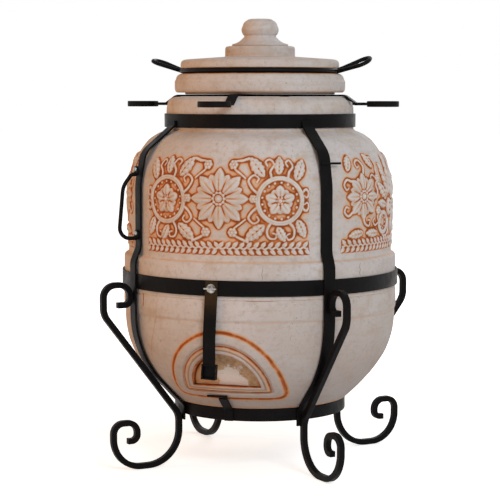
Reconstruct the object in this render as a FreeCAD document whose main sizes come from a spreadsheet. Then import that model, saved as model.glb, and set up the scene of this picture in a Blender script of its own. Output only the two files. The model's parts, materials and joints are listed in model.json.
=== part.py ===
# Clay tandoor oven: a two-part clay jar with two lids, held in a black iron cage on four
# scrolled legs. A skewer hanger lies on its rim, and an ash door closes its foot.
#
# Frame: millimetres, origin at floor level on the jar's axis, +Z up, ash door towards -Y.
# Pieces that repeat round the jar are drawn with +X pointing away from its axis and are then
# turned about Z. A turn of 270 degrees points such a piece at the ash door.

import FreeCAD, Part
import math
import os

import Sketcher

os.makedirs("parts", exist_ok=True)
doc = FreeCAD.newDocument("Tandoor")
sheet = doc.addObject("Spreadsheet::Sheet", "Sizes")

SIZES = {
    # Clearances
    "running_gap": (0.3, "between pieces that part, slide or swing"),
    "weld_gap": (0.1, "between pieces that are welded or stuck together"),
    "mortar": (0.2, "between clay pieces inside the bowl"),
    # Iron bands: flat bar bent into rings round the jar
    "band_thickness": (3.5, "all three bands"),
    "base_band_bottom": (108, "above the floor"),
    "base_band_height": (26, ""),
    "mid_band_lift": (47, "above the belt's foot"),
    "mid_band_height": (31, ""),
    "neck_band_lift": (8, "above the neck's foot"),
    "neck_band_height": (28, ""),
    # Clay jar, lower half
    "wall_thickness": (45, "at the belt"),
    "bowl_taper": (74.8, "from the knee in to the base"),
    "bowl_foot_step": (4.8, "the bowl stands out over the base band"),
    "knee_inset": (34.5, "the bowl's knee lies inside the belt"),
    "knee_rise": (73.7, "from the bowl's foot to where it turns upright"),
    "lower_bulge": (2.5, "roundness of the bowl below the knee"),
    "upper_bulge": (10, "roundness of the bowl above the knee"),
    "belt_radius": (286.5, "under the mid band"),
    "bowl_height": (120, "from the knee to the belt"),
    "belt_height": (109, ""),
    "belt_edge": (6, "slope at the top of the belt"),
    "groove_drop": (9, "scored line under the mid band"),
    "groove_depth": (1.6, ""),
    # Ash door
    "door_radius": (70, "half-round opening"),
    "sill_rise": (52.7, "above the bowl's foot"),
    "door_recess": (14, "the plug's face lies behind the wall's face"),
    "plug_depth": (46, "at its sill"),
    "frame_rise": (4, "mouldings stand out from the bowl"),
    "inner_frame_width": (18, ""),
    "frame_groove": (3, "between the two mouldings"),
    "outer_frame_width": (25, ""),
    "inner_frame_drop": (11, "below the sill"),
    "outer_frame_drop": (26, "below the sill"),
    # Ash pit and grate
    "pit_radius": (125, ""),
    "ledge_rise": (88, "from the door's sill to the ledge that carries the grate"),
    "ledge_width": (15, "bearing of the grate"),
    "grate_thickness": (12, ""),
    "grate_side_gap": (3, "all round the grate"),
    "hearth_rise": (60, "from the ledge to where the sloping hearth meets the wall"),
    "hearth_step": (14, "the hearth's edge stands in from the belly"),
    "slot_count": (12, "slots in the grate"),
    "slot_width": (10, ""),
    "slot_start": (45, "from the axis"),
    "slot_margin": (3, "the slots stop short of the pit's wall"),
    # Clay jar, upper half
    "belt_step": (9.5, "the belt stands out over the jar's wall"),
    "jar_height": (103, "upright wall from the belt to the shoulder"),
    "shoulder_inset": (23, "the shoulder turns in inside the wall"),
    "shoulder_rise": (113, "from the upright wall to where the shoulder turns in"),
    "shoulder_bulge": (8, ""),
    "shoulder_top_bulge": (6, ""),
    "neck_radius": (196.7, "inside the neck band"),
    "shoulder_slope": (41, "height of the shoulder's slope"),
    "neck_foot_step": (3.9, "the shoulder stands out under the neck band"),
    "neck_height": (52, "from the neck's foot to where the rim rounds over"),
    "rim_rise": (19, "from there to the level rim"),
    "rim_flat": (24, "width of the level rim"),
    "rim_bulge": (5, ""),
    "neck_wall": (44.7, ""),
    "mouth_round": (4, ""),
    "shoulder_wall": (42, ""),
    "shoulder_roof": (23, "the chamber's shoulder lies below the outer one"),
    "inner_bulge": (7, ""),
    # Relief on the jar's wall, between the straps
    "relief_rise": (3, "stands out from the wall"),
    "relief_lift": (26, "its middle, above the upright wall"),
    "relief_grid": (1, "unit of the ornament's places"),
    "vine_width": (9, "stem of the scrolls"),
    # Main lid
    "lid_step_reach": (5, "the part that rests on the hanger overlaps the mouth"),
    "lid_step_height": (4, ""),
    "lid_reach": (27, "widest, beyond the mouth"),
    "lid_round_height": (39, "lower moulding of the lid"),
    "lid_round_bulge": (6.5, ""),
    "lid_neck_inset": (12.5, "above the steel ring"),
    "lid_foot_height": (10, "round under the lower moulding"),
    "lid_widest_height": (17, "in the lower moulding"),
    "lid_round_inset": (2.5, "the moulding turns in above its widest"),
    "lid_round_start": (27, "where it turns in"),
    "lid_groove_lip": (7, "under the ring"),
    "lid_edge_round": (4, ""),
    "lid_height": (75.4, ""),
    "lid_crown": (3, "the top plate rises towards its collar"),
    "collar_wall": (29.5, ""),
    "collar_height": (22, ""),
    "collar_edge": (5, ""),
    "vent_radius": (44, ""),
    "lid_ring_bar": (10, "round bar clamped in the lid's groove"),
    "lid_ring_stand": (2, "the ring stands out from the lid's neck"),
    "ring_lift": (48.8, "above the lid's underside"),
    # Lid handles: teardrop loops of round bar
    "lid_handle_bar": (7, ""),
    "lid_handle_reach": (71, "from the ring to the loop's end"),
    "lid_handle_foot": (8, "half the loop's width at the ring"),
    "lid_handle_half_width": (25, "half the loop's widest"),
    "lid_handle_round": (18, ""),
    "lid_handle_lead": (7, "straight run at the ring"),
    "lid_handle_bend": (10, "where the loop opens"),
    "lid_handle_flare": (3, "the loop's corners beyond its widest"),
    "lid_handle_rise": (19, "degrees"),
    # Small lid with its knob
    "spigot_gap": (1.5, "fits the vent"),
    "spigot_length": (15, ""),
    "spigot_taper": (3, ""),
    "cap_overlap": (15, "beyond the vent"),
    "cap_flange_height": (4, ""),
    "cap_neck_radius": (33, ""),
    "cap_neck_height": (17, ""),
    "cap_neck_foot": (3, "the neck's foot stands out"),
    "cap_neck_length": (5, ""),
    "knob_reach": (5.7, "beyond the cap's neck"),
    "knob_under": (7, "from the knob's underside to its widest"),
    "knob_side": (8, "from its widest to its shoulder"),
    "knob_shoulder": (9, "width of the slope round its top"),
    "knob_slope": (3.5, ""),
    "knob_height": (34, "above the small lid's underside"),
    "cap_height": (56.4, "above its underside"),
    "knob_inset": (18.7, "width of the knob's rounding"),
    # Straps
    "strap_width": (25, ""),
    "strap_thickness": (4, ""),
    "strap_clear": (1.2, "between strap and clay"),
    "strap_azimuth": (45, "degrees from the ash door to the first strap"),
    "strap_overlap": (14, "on the neck band"),
    "strap_tail": (12, "below the base band, welded to the leg"),
    "strap_lead": (7, "straight run before a bend at a band or belt"),
    "strap_neck_lead": (12, "above the neck's foot"),
    "strap_neck_bend": (10, ""),
    "strap_shoulder_stand": (14, "stands out over the shoulder's edge"),
    "strap_shoulder_bend": (45, ""),
    "strap_jar_lead": (50, "above the jar's upright wall"),
    "strap_jar_bend": (110, ""),
    "strap_belt_lead": (16, "above the belt's slope"),
    "strap_belt_bend": (30, ""),
    "strap_bowl_lead": (66.6, "below the belt"),
    "strap_bowl_bend": (203, ""),
    "strap_knee_inset": (5.6, "inside the knee"),
    "strap_knee_lead": (14.3, "below the knee"),
    "strap_knee_bend": (100, ""),
    "strap_foot_bend": (13, ""),
    # Legs: square bar with a scroll at each end
    "leg_bar": (12, ""),
    "foot_reach": (147.5, "from the leg's waist to the foot's outer side"),
    "foot_heel_round": (70, ""),
    "foot_toe_round": (60, ""),
    "foot_curl_height": (98, "above the floor"),
    "foot_curl_reach": (52.5, "how far the foot curls back"),
    "foot_curl_drop": (38, ""),
    "foot_curl_round": (21, ""),
    "curl_end_round": (13, ""),
    "curl_end": (21.5, "last run of a scroll"),
    "scroll_end_extra": (7, "the upper scroll's last run is longer"),
    "leg_past_knee": (11.8425, "from the strap's middle to the leg's, beside the knee"),
    "waist_round": (40, ""),
    "scroll_reach": (58.5, "from the strap to the scroll's outer side"),
    "scroll_height": (59.5, "from its top to where the leg turns upright again"),
    "scroll_overlap": (8.5, "the scroll stands up over the mid band's foot"),
    "scroll_drop": (41.5, "how far the scroll comes down again"),
    "scroll_round": (25, ""),
    "scroll_foot_round": (40, ""),
    # Carry handles: round bar on two opposite straps
    "handle_bar": (8, ""),
    "handle_lift": (68, "above the upright wall"),
    "handle_length": (130, ""),
    "handle_shoulder_drop": (24, "below its top"),
    "handle_stand": (33.8, "from the strap, at its shoulder"),
    "handle_belly_stand": (43.8, "from the strap, at its bottom"),
    "handle_shoulder_bend": (40, ""),
    "handle_bottom_bend": (22, ""),
    "eye_radius": (10, "flattened end of the bar"),
    "eye_thickness": (4, ""),
    "eye_offset": (7, "the eye's middle beyond the bar's"),
    "rivet_head": (5, "radius of its head"),
    "rivet_offset": (10, "from the bar's middle"),
    # Tool pegs
    "peg_bar": (4.5, ""),
    "peg_drop": (19, "below the shoulder"),
    "peg_length": (44, ""),
    # Latch over the ash door
    "latch_offset": (10, "to the left of the door's middle"),
    "latch_lean": (3, "degrees, as it hangs"),
    "latch_width": (25, ""),
    "latch_thickness": (4, ""),
    "latch_above": (14, "above its stud"),
    "latch_bend": (100, "below its stud"),
    "latch_bend_round": (60, ""),
    "latch_length": (152, "from its stud to its pad"),
    "latch_set_in": (8, "its lower end nearer the door"),
    "pad_size": (30, "short square tube at the bar's end"),
    "pad_wall": (3, ""),
    "pad_depth": (14, ""),
    "stud_radius": (4, ""),
    "stud_length": (14, "in front of the mid band"),
    "washer_radius": (9, ""),
    "washer_thickness": (1.5, ""),
    "nut_radius": (6.5, "hub of the wing nut"),
    "nut_height": (6, ""),
    "wing_span": (26, ""),
    "wing_thickness": (2.5, ""),
    # Keeper under the ash door
    "keeper_width": (18, ""),
    "keeper_drop": (27, "below the door's sill"),
    "keeper_pin_bar": (4.5, ""),
    "keeper_pin_length": (42, ""),
    # Bottom support
    "support_width": (30, ""),
    "support_thickness": (4, ""),
    # Skewer hanger
    "hanger_width": (20, ""),
    "hanger_thickness": (4, ""),
    "hub_radius": (52, ""),
    "hub_bore": (32, ""),
    "hanger_drop": (17, "from the rim down to the hoops"),
    "hoop_radius": (33, "outer"),
    "hoop_bar": (4, ""),
    "hoop_height": (12, ""),
    "hoop_stand": (99.5, "outermost point beyond the neck band"),
    "hoop_offset": (12, "the arm meets the hoop beside its middle"),
}


class Size:
    """A length, angle or count: its value now and the formula over the sheet that gives it."""

    def __init__(self, value, formula):
        self.value, self.formula = float(value), formula

    def __add__(self, other):
        other = size(other)
        return Size(self.value + other.value, f"({self.formula} + {other.formula})")

    def __sub__(self, other):
        other = size(other)
        return Size(self.value - other.value, f"({self.formula} - {other.formula})")

    def __mul__(self, other):
        other = size(other)
        return Size(self.value * other.value, f"({self.formula} * {other.formula})")

    def __truediv__(self, other):
        other = size(other)
        return Size(self.value / other.value, f"({self.formula} / {other.formula})")

    def __neg__(self):
        return Size(-self.value, f"(0 - {self.formula})")

    def __radd__(self, other):
        return size(other) + self

    def __rsub__(self, other):
        return size(other) - self

    def __rmul__(self, other):
        return size(other) * self


def size(number):
    return number if isinstance(number, Size) else Size(number, repr(number))


def fill_sheet():
    """Writes each driving size into the sheet with its alias, and returns them as Size values."""
    sizes = {}
    for row, (alias, (value, note)) in enumerate(SIZES.items(), start=1):
        sheet.set(f"A{row}", alias)
        sheet.set(f"B{row}", str(value))
        sheet.setAlias(f"B{row}", alias)
        sheet.set(f"C{row}", note)
        sizes[alias] = Size(value, f"Sizes.{alias}")
    doc.recompute()
    return sizes


class Named:
    """Gives each size by its alias, as in s.belt_radius."""

    def __init__(self, sizes):
        self.__dict__.update(sizes)


s = Named(fill_sheet())
nodes = []


def bind(item, path, number):
    """Ties a property of item to its formula."""
    item.setExpression(path, size(number).formula)


def node(item, name):
    """Marks item as a finished sub-part with the label name."""
    item.Label = name
    nodes.append(item)
    return item


# Sketches -----------------------------------------------------------------------------------


def new_sketch(body, name, plane, offset=0):
    """A sketch on one of the body's origin planes, moved along that plane's normal."""
    sketch = body.newObject("Sketcher::SketchObject", name)
    face = next(f for f in body.Origin.OriginFeatures if f.Role == plane)
    sketch.AttachmentSupport = [(face, "")]
    sketch.MapMode = "FlatFace"
    sketch.AttachmentOffset.Base.z = size(offset).value
    bind(sketch, "AttachmentOffset.Base.z", offset)
    return sketch


def fix_number(sketch, number, *constraint):
    """Adds a constraint with a size and ties it to the sheet."""
    index = sketch.addConstraint(Sketcher.Constraint(*constraint, size(number).value))
    bind(sketch, f"Constraints[{index}]", number)


def fix_point(sketch, place, x, y):
    """Holds one point of the sketch, given as (geometry, end), at x, y."""
    for kind, number, axis in (("DistanceX", x, -2), ("DistanceY", y, -1)):
        if size(number).value == 0:
            sketch.addConstraint(Sketcher.Constraint("PointOnObject", *place, axis))
        else:
            fix_number(sketch, number, kind, -1, 1, *place)


def bulged_arc(start, end, bulge):
    """The arc from start to end whose middle stands out to the right of the way by bulge."""
    way = end - start
    right = FreeCAD.Vector(way.y, -way.x, 0).normalize()
    return Part.Arc(start, (start + end) * 0.5 + right * bulge, end)


def outline(sketch, corners):
    """A closed outline through corners (x, y) or (x, y, bulge of the edge that leaves it)."""
    spots = [FreeCAD.Vector(size(c[0]).value, size(c[1]).value, 0) for c in corners]
    ends = []
    for i, corner in enumerate(corners):
        start, end = spots[i], spots[(i + 1) % len(spots)]
        if len(corner) == 2:
            ends.append((sketch.addGeometry(Part.LineSegment(start, end), False), 1, 2))
            continue
        bulge = size(corner[2])
        arc = sketch.addGeometry(bulged_arc(start, end, bulge.value), False)
        ends.append((arc, 1, 2) if bulge.value > 0 else (arc, 2, 1))
        after = corners[(i + 1) % len(corners)]
        across, along = after[0] - size(corner[0]), after[1] - size(corner[1])
        radius = (across * across + along * along) / (bulge * 8) + bulge / 2
        fix_number(sketch, radius if bulge.value > 0 else -radius, "Radius", arc)
    for i, (edge, begin, finish) in enumerate(ends):
        following = ends[(i + 1) % len(ends)]
        sketch.addConstraint(Sketcher.Constraint("Coincident", edge, finish, *following[:2]))
        fix_point(sketch, (edge, begin), *corners[i][:2])
    return sketch


def rectangle(x, y, width, height):
    """Corners of a rectangle round the point x, y."""
    left, right = x - size(width) / 2, x + size(width) / 2
    low, high = y - size(height) / 2, y + size(height) / 2
    return [(left, low), (right, low), (right, high), (left, high)]


def circle(sketch, x, y, radius):
    middle = FreeCAD.Vector(size(x).value, size(y).value, 0)
    ring = sketch.addGeometry(
        Part.Circle(middle, FreeCAD.Vector(0, 0, 1), size(radius).value), False
    )
    fix_point(sketch, (ring, 3), x, y)
    fix_number(sketch, radius, "Radius", ring)
    return sketch


def arch(radius, spring, drop):
    """Corners of a half-round arch: its sides go down by drop below the spring line."""
    quarter = radius * (1 - math.sqrt(0.5))
    corners = [(-radius, spring - drop), (radius, spring - drop)]
    if size(drop).value:
        corners.append((radius, spring, quarter))
        return corners + [(0, spring + radius, quarter), (-radius, spring)]
    return [(-radius, spring), (radius, spring, quarter), (0, spring + radius, quarter)]


def turn_tangent(before, corner, after, radius):
    """The two ends and the middle of the round of a corner."""
    inward, outward = (before - corner).normalize(), (after - corner).normalize()
    half = inward.getAngle(outward) / 2
    reach = radius / math.tan(half)
    middle = corner + (inward + outward).normalize() * (radius / math.sin(half) - radius)
    return corner + inward * reach, middle, corner + outward * reach


def rounded_path(sketch, corners):
    """An open path of straight runs through corners (x, y, round), joined by tangent arcs."""
    spots = [FreeCAD.Vector(size(c[0]).value, size(c[1]).value, 0) for c in corners]
    runs, rounds, last = [], [], spots[0]
    for i in range(1, len(corners) - 1):
        enter, middle, leave = turn_tangent(*spots[i - 1 : i + 2], size(corners[i][2]).value)
        runs.append(sketch.addGeometry(Part.LineSegment(last, enter), False))
        turns_left = (enter - last).cross(leave - enter).z > 0
        arc = sketch.addGeometry(Part.Arc(enter, middle, leave), False)
        rounds.append((arc, 1, 2) if turns_left else (arc, 2, 1))
        last = leave
    runs.append(sketch.addGeometry(Part.LineSegment(last, spots[-1]), False))
    for i, (arc, begin, finish) in enumerate(rounds):
        x, y, radius = corners[i + 1]
        sketch.addConstraint(Sketcher.Constraint("Tangent", runs[i], 2, arc, begin))
        sketch.addConstraint(Sketcher.Constraint("Tangent", arc, finish, runs[i + 1], 1))
        fix_number(sketch, radius, "Radius", arc)
        corner = sketch.addGeometry(Part.Point(spots[i + 1]), True)
        fix_point(sketch, (corner, 1), x, y)
        for run in (runs[i], runs[i + 1]):
            sketch.addConstraint(Sketcher.Constraint("PointOnObject", corner, 1, run))
    fix_point(sketch, (runs[0], 1), *corners[0][:2])
    fix_point(sketch, (runs[-1], 2), *corners[-1][:2])
    return sketch


# Ways of making a piece ---------------------------------------------------------------------


def new_body(name):
    return doc.addObject("PartDesign::Body", name)


def turned(body, name, corners):
    """Turns the outline (distance from the axis, height) about the Z axis."""
    profile = outline(new_sketch(body, name + "_profile", "XZ_Plane"), corners)
    solid = body.newObject("PartDesign::Revolution", name + "_turned")
    solid.Profile = profile
    solid.ReferenceAxis = (profile, ["V_Axis"])
    solid.Angle = 360
    return solid


def pad(body, sketch, length, both_ways=False):
    solid = body.newObject("PartDesign::Pad", sketch.Name + "_pad")
    solid.Profile = sketch
    bind(solid, "Length", length)
    solid.Midplane = both_ways
    return solid


def pocket(body, sketch, length):
    """Cuts length / 2 to each side of the sketch."""
    cut = body.newObject("PartDesign::Pocket", sketch.Name + "_pocket")
    cut.Profile = sketch
    bind(cut, "Length", length)
    cut.Midplane = True
    return cut


def flat_ring(name, inner, outer, bottom, height):
    """A level ring, such as a band or a washer."""
    body = new_body(name)
    sketch = new_sketch(body, name + "_plan", "XY_Plane", bottom)
    circle(sketch, 0, 0, inner)
    circle(sketch, 0, 0, outer)
    pad(body, sketch, height)
    return body


def swept(body, name, path_plane, path_corners, section_plane, offset, section):
    """Sweeps a section, drawn by the function section, along a rounded path."""
    path = rounded_path(new_sketch(body, name + "_path", path_plane), path_corners)
    profile = new_sketch(body, name + "_section", section_plane, offset)
    section(profile)
    pipe = body.newObject("PartDesign::AdditivePipe", name + "_pipe")
    pipe.Profile = profile
    pipe.Spine = (path, [])
    return body


def turn_about_z(item, degrees):
    """Turns a finished piece about the jar's axis."""
    item.Placement.Rotation = FreeCAD.Rotation(FreeCAD.Vector(0, 0, 1), size(degrees).value)
    bind(item, "Placement.Rotation.Angle", degrees)


def boolean(kind, name, base, tool):
    item = doc.addObject("Part::" + kind, name)
    item.Base, item.Tool = base, tool
    return item


# Values that several pieces share -------------------------------------------------------------

knee_radius = s.belt_radius - s.knee_inset
base_radius = knee_radius - s.bowl_taper
base_band_inner = base_radius + s.running_gap
base_band_outer = base_band_inner + s.band_thickness
base_band_top = s.base_band_bottom + s.base_band_height
bowl_foot = base_band_top + s.running_gap
bowl_foot_radius = base_radius + s.bowl_foot_step
knee_height = bowl_foot + s.knee_rise

door_sill = bowl_foot + s.sill_rise
door_crown = door_sill + s.door_radius
ledge_height = door_sill + s.ledge_rise
hearth_height = ledge_height + s.hearth_rise
hearth_radius = s.belt_radius - s.wall_thickness - s.hearth_step
inner_knee_radius = knee_radius - s.wall_thickness
clay_foot = s.base_band_bottom + s.support_thickness + s.running_gap
inner_floor = clay_foot + s.wall_thickness
grate_radius = s.pit_radius + s.ledge_width
recess_radius = grate_radius + s.grate_side_gap
hearth_foot = ledge_height + s.grate_thickness + s.grate_side_gap
slot_end = s.pit_radius - s.slot_margin

belt_bottom = knee_height + s.bowl_height
belt_top = belt_bottom + s.belt_height
mid_band_bottom = belt_bottom + s.mid_band_lift
mid_band_inner = s.belt_radius + s.running_gap
mid_band_outer = mid_band_inner + s.band_thickness
seam = mid_band_bottom + s.mid_band_height / 2
groove_height = mid_band_bottom - s.groove_drop
inner_belly = s.belt_radius - s.wall_thickness

jar_radius = s.belt_radius - s.belt_step
shoulder_start = belt_top + s.jar_height
shoulder_height = shoulder_start + s.shoulder_rise
shoulder_radius = jar_radius - s.shoulder_inset
inner_shoulder_radius = shoulder_radius - s.shoulder_wall
inner_shoulder_height = shoulder_height - s.shoulder_roof
neck_foot = shoulder_height + s.shoulder_slope
neck_top = neck_foot + s.neck_height
neck_band_bottom = neck_foot + s.neck_band_lift
neck_band_inner = s.neck_radius + s.running_gap
neck_band_outer = neck_band_inner + s.band_thickness
rim_height = neck_top + s.rim_rise
mouth_radius = s.neck_radius - s.neck_wall

hanger_bottom = rim_height + s.running_gap
hanger_top = hanger_bottom + s.hanger_thickness
hoop_level = rim_height + s.hanger_thickness / 2 - s.hanger_drop
hoop_reach = neck_band_outer + s.hoop_stand

lid_bottom = hanger_top + s.running_gap
lid_step_radius = mouth_radius + s.lid_step_reach
lid_radius = mouth_radius + s.lid_reach
lid_neck_radius = lid_radius - s.lid_neck_inset
lid_ring_height = lid_bottom + s.ring_lift
lid_top = lid_bottom + s.lid_height
collar_radius = s.vent_radius + s.collar_wall
cap_bottom = lid_top + s.lid_crown + s.collar_height + s.running_gap
spigot_radius = s.vent_radius - s.spigot_gap
cap_flange_radius = s.vent_radius + s.cap_overlap
knob_radius = s.cap_neck_radius + s.knob_reach
knob_top_radius = knob_radius - s.knob_inset

strap_half = s.strap_thickness / 2
strap_mid = mid_band_outer + s.weld_gap + strap_half
strap_base = base_band_outer + s.weld_gap + strap_half
strap_neck = neck_band_outer + s.weld_gap + strap_half
strap_jar = jar_radius + s.strap_clear + strap_half
strap_shoulder_radius = shoulder_radius + s.strap_shoulder_stand
strap_shoulder_end = shoulder_start + s.strap_jar_lead
strap_knee_radius = knee_radius - s.strap_knee_inset
strap_knee_height = knee_height - s.strap_knee_lead

leg_half = s.leg_bar / 2
leg_top_radius = strap_mid + strap_half + s.weld_gap + leg_half
scroll_radius = leg_top_radius + s.scroll_reach
leg_waist_radius = strap_base + strap_half + s.weld_gap + leg_half
scroll_top = mid_band_bottom + s.scroll_overlap
scroll_foot = scroll_top - s.scroll_height
leg_rise_per_reach = (scroll_foot - strap_knee_height) / (
    scroll_radius - strap_knee_radius - s.leg_past_knee
)
waist_height = scroll_foot - (scroll_radius - leg_waist_radius) * leg_rise_per_reach
handle_top = shoulder_start + s.handle_lift
handle_bottom = handle_top - s.handle_length
handle_shoulder = handle_top - s.handle_shoulder_drop
handle_reach = strap_jar + s.handle_stand
handle_belly = strap_jar + s.handle_belly_stand
peg_height = shoulder_height - s.peg_drop
keeper_top = door_sill - s.keeper_drop


def chord_radius(low, high, height):
    """Distance from the axis on the straight line between two places (radius, height)."""
    share = (height - low[1]) / (high[1] - low[1])
    return low[0] + (high[0] - low[0]) * share


def wall_below_knee(height):
    """Distance from the axis to the bowl's face between its foot and its knee."""
    foot, knee = (bowl_foot_radius, bowl_foot), (knee_radius, knee_height)
    return chord_radius(foot, knee, height) + s.lower_bulge


inner_floor_radius = wall_below_knee(inner_floor) - s.wall_thickness


# Clay jar -------------------------------------------------------------------------------------


def body_lower():
    """The bowl, with the half-round opening of the ash door."""
    body = new_body("body_lower")
    turned(body, "bowl", [
        (0, clay_foot),
        (base_radius, clay_foot),
        (base_radius, bowl_foot),
        (bowl_foot_radius, bowl_foot, s.lower_bulge),
        (knee_radius, knee_height, s.upper_bulge),
        (s.belt_radius, belt_bottom),
        (s.belt_radius, groove_height - s.groove_depth),
        (s.belt_radius - s.groove_depth, groove_height),
        (s.belt_radius, groove_height + s.groove_depth),
        (s.belt_radius, seam),
        (inner_belly, seam, -s.inner_bulge),
        (hearth_radius, hearth_height),
        (inner_knee_radius, knee_height),
        (inner_floor_radius, inner_floor),
        (0, inner_floor),
    ])
    door_opening(body)
    node(body, "body_lower")


def door_opening(body):
    """Cuts the half-round tunnel of the ash door through a clay piece."""
    opening = new_sketch(body, body.Name + "_opening", "XZ_Plane", s.belt_radius)
    outline(opening, arch(s.door_radius, door_sill, 0))
    pocket(body, opening, (s.belt_radius - s.pit_radius / 2) * 2)


def door_frames():
    """Two clay mouldings round the ash door, which follow the bowl."""
    inner_edge = s.door_radius + s.inner_frame_width
    groove_edge = inner_edge + s.frame_groove
    outer_edge = groove_edge + s.outer_frame_width
    frames_front = s.belt_radius + s.frame_rise + s.upper_bulge
    for name, inside, outside in (
        ("door_frame_inner", (s.door_radius, 0), (inner_edge, s.inner_frame_drop)),
        (
            "door_frame_outer",
            (groove_edge, s.inner_frame_drop + s.frame_groove),
            (outer_edge, s.outer_frame_drop),
        ),
    ):
        plan = new_body(name + "_plan")
        arches = new_sketch(plan, name + "_arches", "XZ_Plane", inner_knee_radius / 2)
        outline(arches, arch(outside[0], door_sill, outside[1]))
        outline(arches, arch(inside[0], door_sill, inside[1]))
        pad(plan, arches, frames_front - inner_knee_radius / 2)
        coat = new_body(name + "_coat")
        turned(coat, name + "_coat", [
            (bowl_foot_radius + s.weld_gap, bowl_foot),
            (bowl_foot_radius + s.frame_rise, bowl_foot, s.lower_bulge),
            (knee_radius + s.frame_rise, knee_height, s.upper_bulge),
            (s.belt_radius + s.frame_rise, belt_bottom),
            (s.belt_radius + s.weld_gap, belt_bottom, -s.upper_bulge),
            (knee_radius + s.weld_gap, knee_height, -s.lower_bulge),
        ])
        node(boolean("Common", name, plan, coat), name)


def ash_pit():
    """The clay pieces inside the bowl: the pit's floor and wall, and the hearth over them."""
    wall_foot, wall_knee = (inner_floor_radius, inner_floor), (inner_knee_radius, knee_height)
    wall_hearth = (hearth_radius, hearth_height)
    away = s.mortar * 2
    floor = new_body("ash_pit_floor")
    turned(floor, "ash_pit_floor", [
        (0, inner_floor + s.mortar),
        (inner_floor_radius - away, inner_floor + s.mortar),
        (chord_radius(wall_foot, wall_knee, door_sill) - away, door_sill),
        (0, door_sill),
    ])
    node(floor, "ash_pit_floor")

    ring = new_body("ash_pit_ring")
    ring_foot = door_sill + s.mortar
    turned(ring, "ash_pit_ring", [
        (s.pit_radius, ring_foot),
        (chord_radius(wall_foot, wall_knee, ring_foot) - away, ring_foot),
        (inner_knee_radius - away, knee_height),
        (chord_radius(wall_knee, wall_hearth, ledge_height) - away, ledge_height),
        (s.pit_radius, ledge_height),
    ])
    door_opening(ring)
    node(ring, "ash_pit_ring")

    hearth = new_body("hearth_ring")
    turned(hearth, "hearth_ring", [
        (recess_radius, ledge_height + s.mortar),
        (
            chord_radius(wall_knee, wall_hearth, ledge_height + s.mortar) - away,
            ledge_height + s.mortar,
        ),
        (hearth_radius - away, hearth_height),
        (recess_radius, hearth_foot),
    ])
    node(hearth, "hearth_ring")


def body_upper():
    """The jar's belly, shoulder, neck and rim."""
    body = new_body("body_upper")
    neck_foot_radius = s.neck_radius + s.neck_foot_step
    rim_edge = mouth_radius + s.rim_flat
    turned(body, "jar", [
        (inner_belly, seam),
        (s.belt_radius, seam),
        (s.belt_radius, belt_top),
        (jar_radius, belt_top + s.belt_edge),
        (jar_radius, shoulder_start, s.shoulder_bulge),
        (shoulder_radius, shoulder_height, s.shoulder_top_bulge),
        (neck_foot_radius, neck_foot),
        (s.neck_radius, neck_foot + s.neck_foot_step),
        (s.neck_radius, neck_top, s.rim_bulge),
        (rim_edge, rim_height),
        (mouth_radius + s.mouth_round, rim_height, s.mouth_round / 4),
        (mouth_radius, rim_height - s.mouth_round),
        (mouth_radius, neck_foot),
        (inner_shoulder_radius, inner_shoulder_height, -s.inner_bulge),
    ])
    node(body, "body_upper")


def ash_plug():
    """The clay plug in the ash door. Its face slopes as the wall does."""
    body = new_body("ash_plug")
    knee = (knee_radius, knee_height)
    high = (s.belt_radius + s.upper_bulge, belt_bottom)
    face_foot = wall_below_knee(door_sill) - s.door_recess
    face_crown = chord_radius(knee, high, door_crown) - s.door_recess
    front = new_sketch(body, "plug_front", "XZ_Plane", face_foot - s.plug_depth)
    radius = s.door_radius - s.running_gap * 2
    outline(front, arch(radius, door_sill + s.running_gap, 0))
    pad(body, front, s.belt_radius - face_foot + s.plug_depth)
    face = new_sketch(body, "plug_face", "YZ_Plane")
    past = s.belt_radius + s.upper_bulge
    outline(face, [
        (-face_foot, door_sill),
        (-face_crown, door_crown),
        (-past, door_crown),
        (-past, door_sill),
    ])
    pocket(body, face, s.door_radius * 3)
    node(body, "ash_plug")


def grate():
    """Cast grate on the ledge over the ash pit."""
    body = new_body("grate")
    disc = new_sketch(body, "grate_plan", "XY_Plane", ledge_height + s.running_gap)
    circle(disc, 0, 0, grate_radius)
    pad(body, disc, s.grate_thickness)
    doc.recompute()
    slot = new_sketch(body, "grate_slot", "XY_Plane", ledge_height)
    middle = (s.slot_start + slot_end) / 2
    outline(slot, rectangle(middle, size(0), slot_end - s.slot_start, s.slot_width))
    first = pocket(body, slot, s.grate_thickness * 4)
    slots = body.newObject("PartDesign::PolarPattern", "grate_slots")
    slots.Originals = [first]
    slots.Axis = (slot, ["N_Axis"])
    slots.Angle = 360
    bind(slots, "Occurrences", s.slot_count)
    body.Tip = slots
    node(body, "grate")


# Relief ---------------------------------------------------------------------------------------

# One half of each ornament, in grid units across and up from its middle.
# Rosettes: across, up, middle's radius, petals, petal's length, petal's width.
# Scrolls and berries: across, up, radius. Leaves: across, up, heading in degrees, length, width.
VINE = {
    "rosettes": ((0, 0, 15, 8, 48, 22), (122, -4, 9, 5, 24, 18)),
    "scrolls": ((122, -4, 44),),
    "berries": ((69, 0, 8), (28, 66, 9), (28, -66, 9)),
    "leaves": (
        (92, 42, 128, 48, 24), (120, 46, 84, 36, 20), (154, 34, 66, 46, 22),
        (92, -50, -140, 50, 24), (116, -54, -62, 34, 18), (156, -40, -66, 40, 20),
    ),
}
PALMETTE = {
    "rosettes": ((118, 0, 14, 8, 36, 19),),
    "scrolls": ((40, -56, 20),),
    "berries": ((0, -26, 19), (64, 34, 8), (64, -30, 8)),
    "leaves": (
        (0, -2, 90, 82, 20), (10, -4, 65, 76, 20), (18, -11, 38, 62, 20), (22, -22, 11, 42, 18),
        (72, 56, 50, 36, 18), (160, 50, 112, 34, 18), (66, -76, 2, 44, 18), (118, -72, -8, 44, 18),
    ),
}


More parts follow.
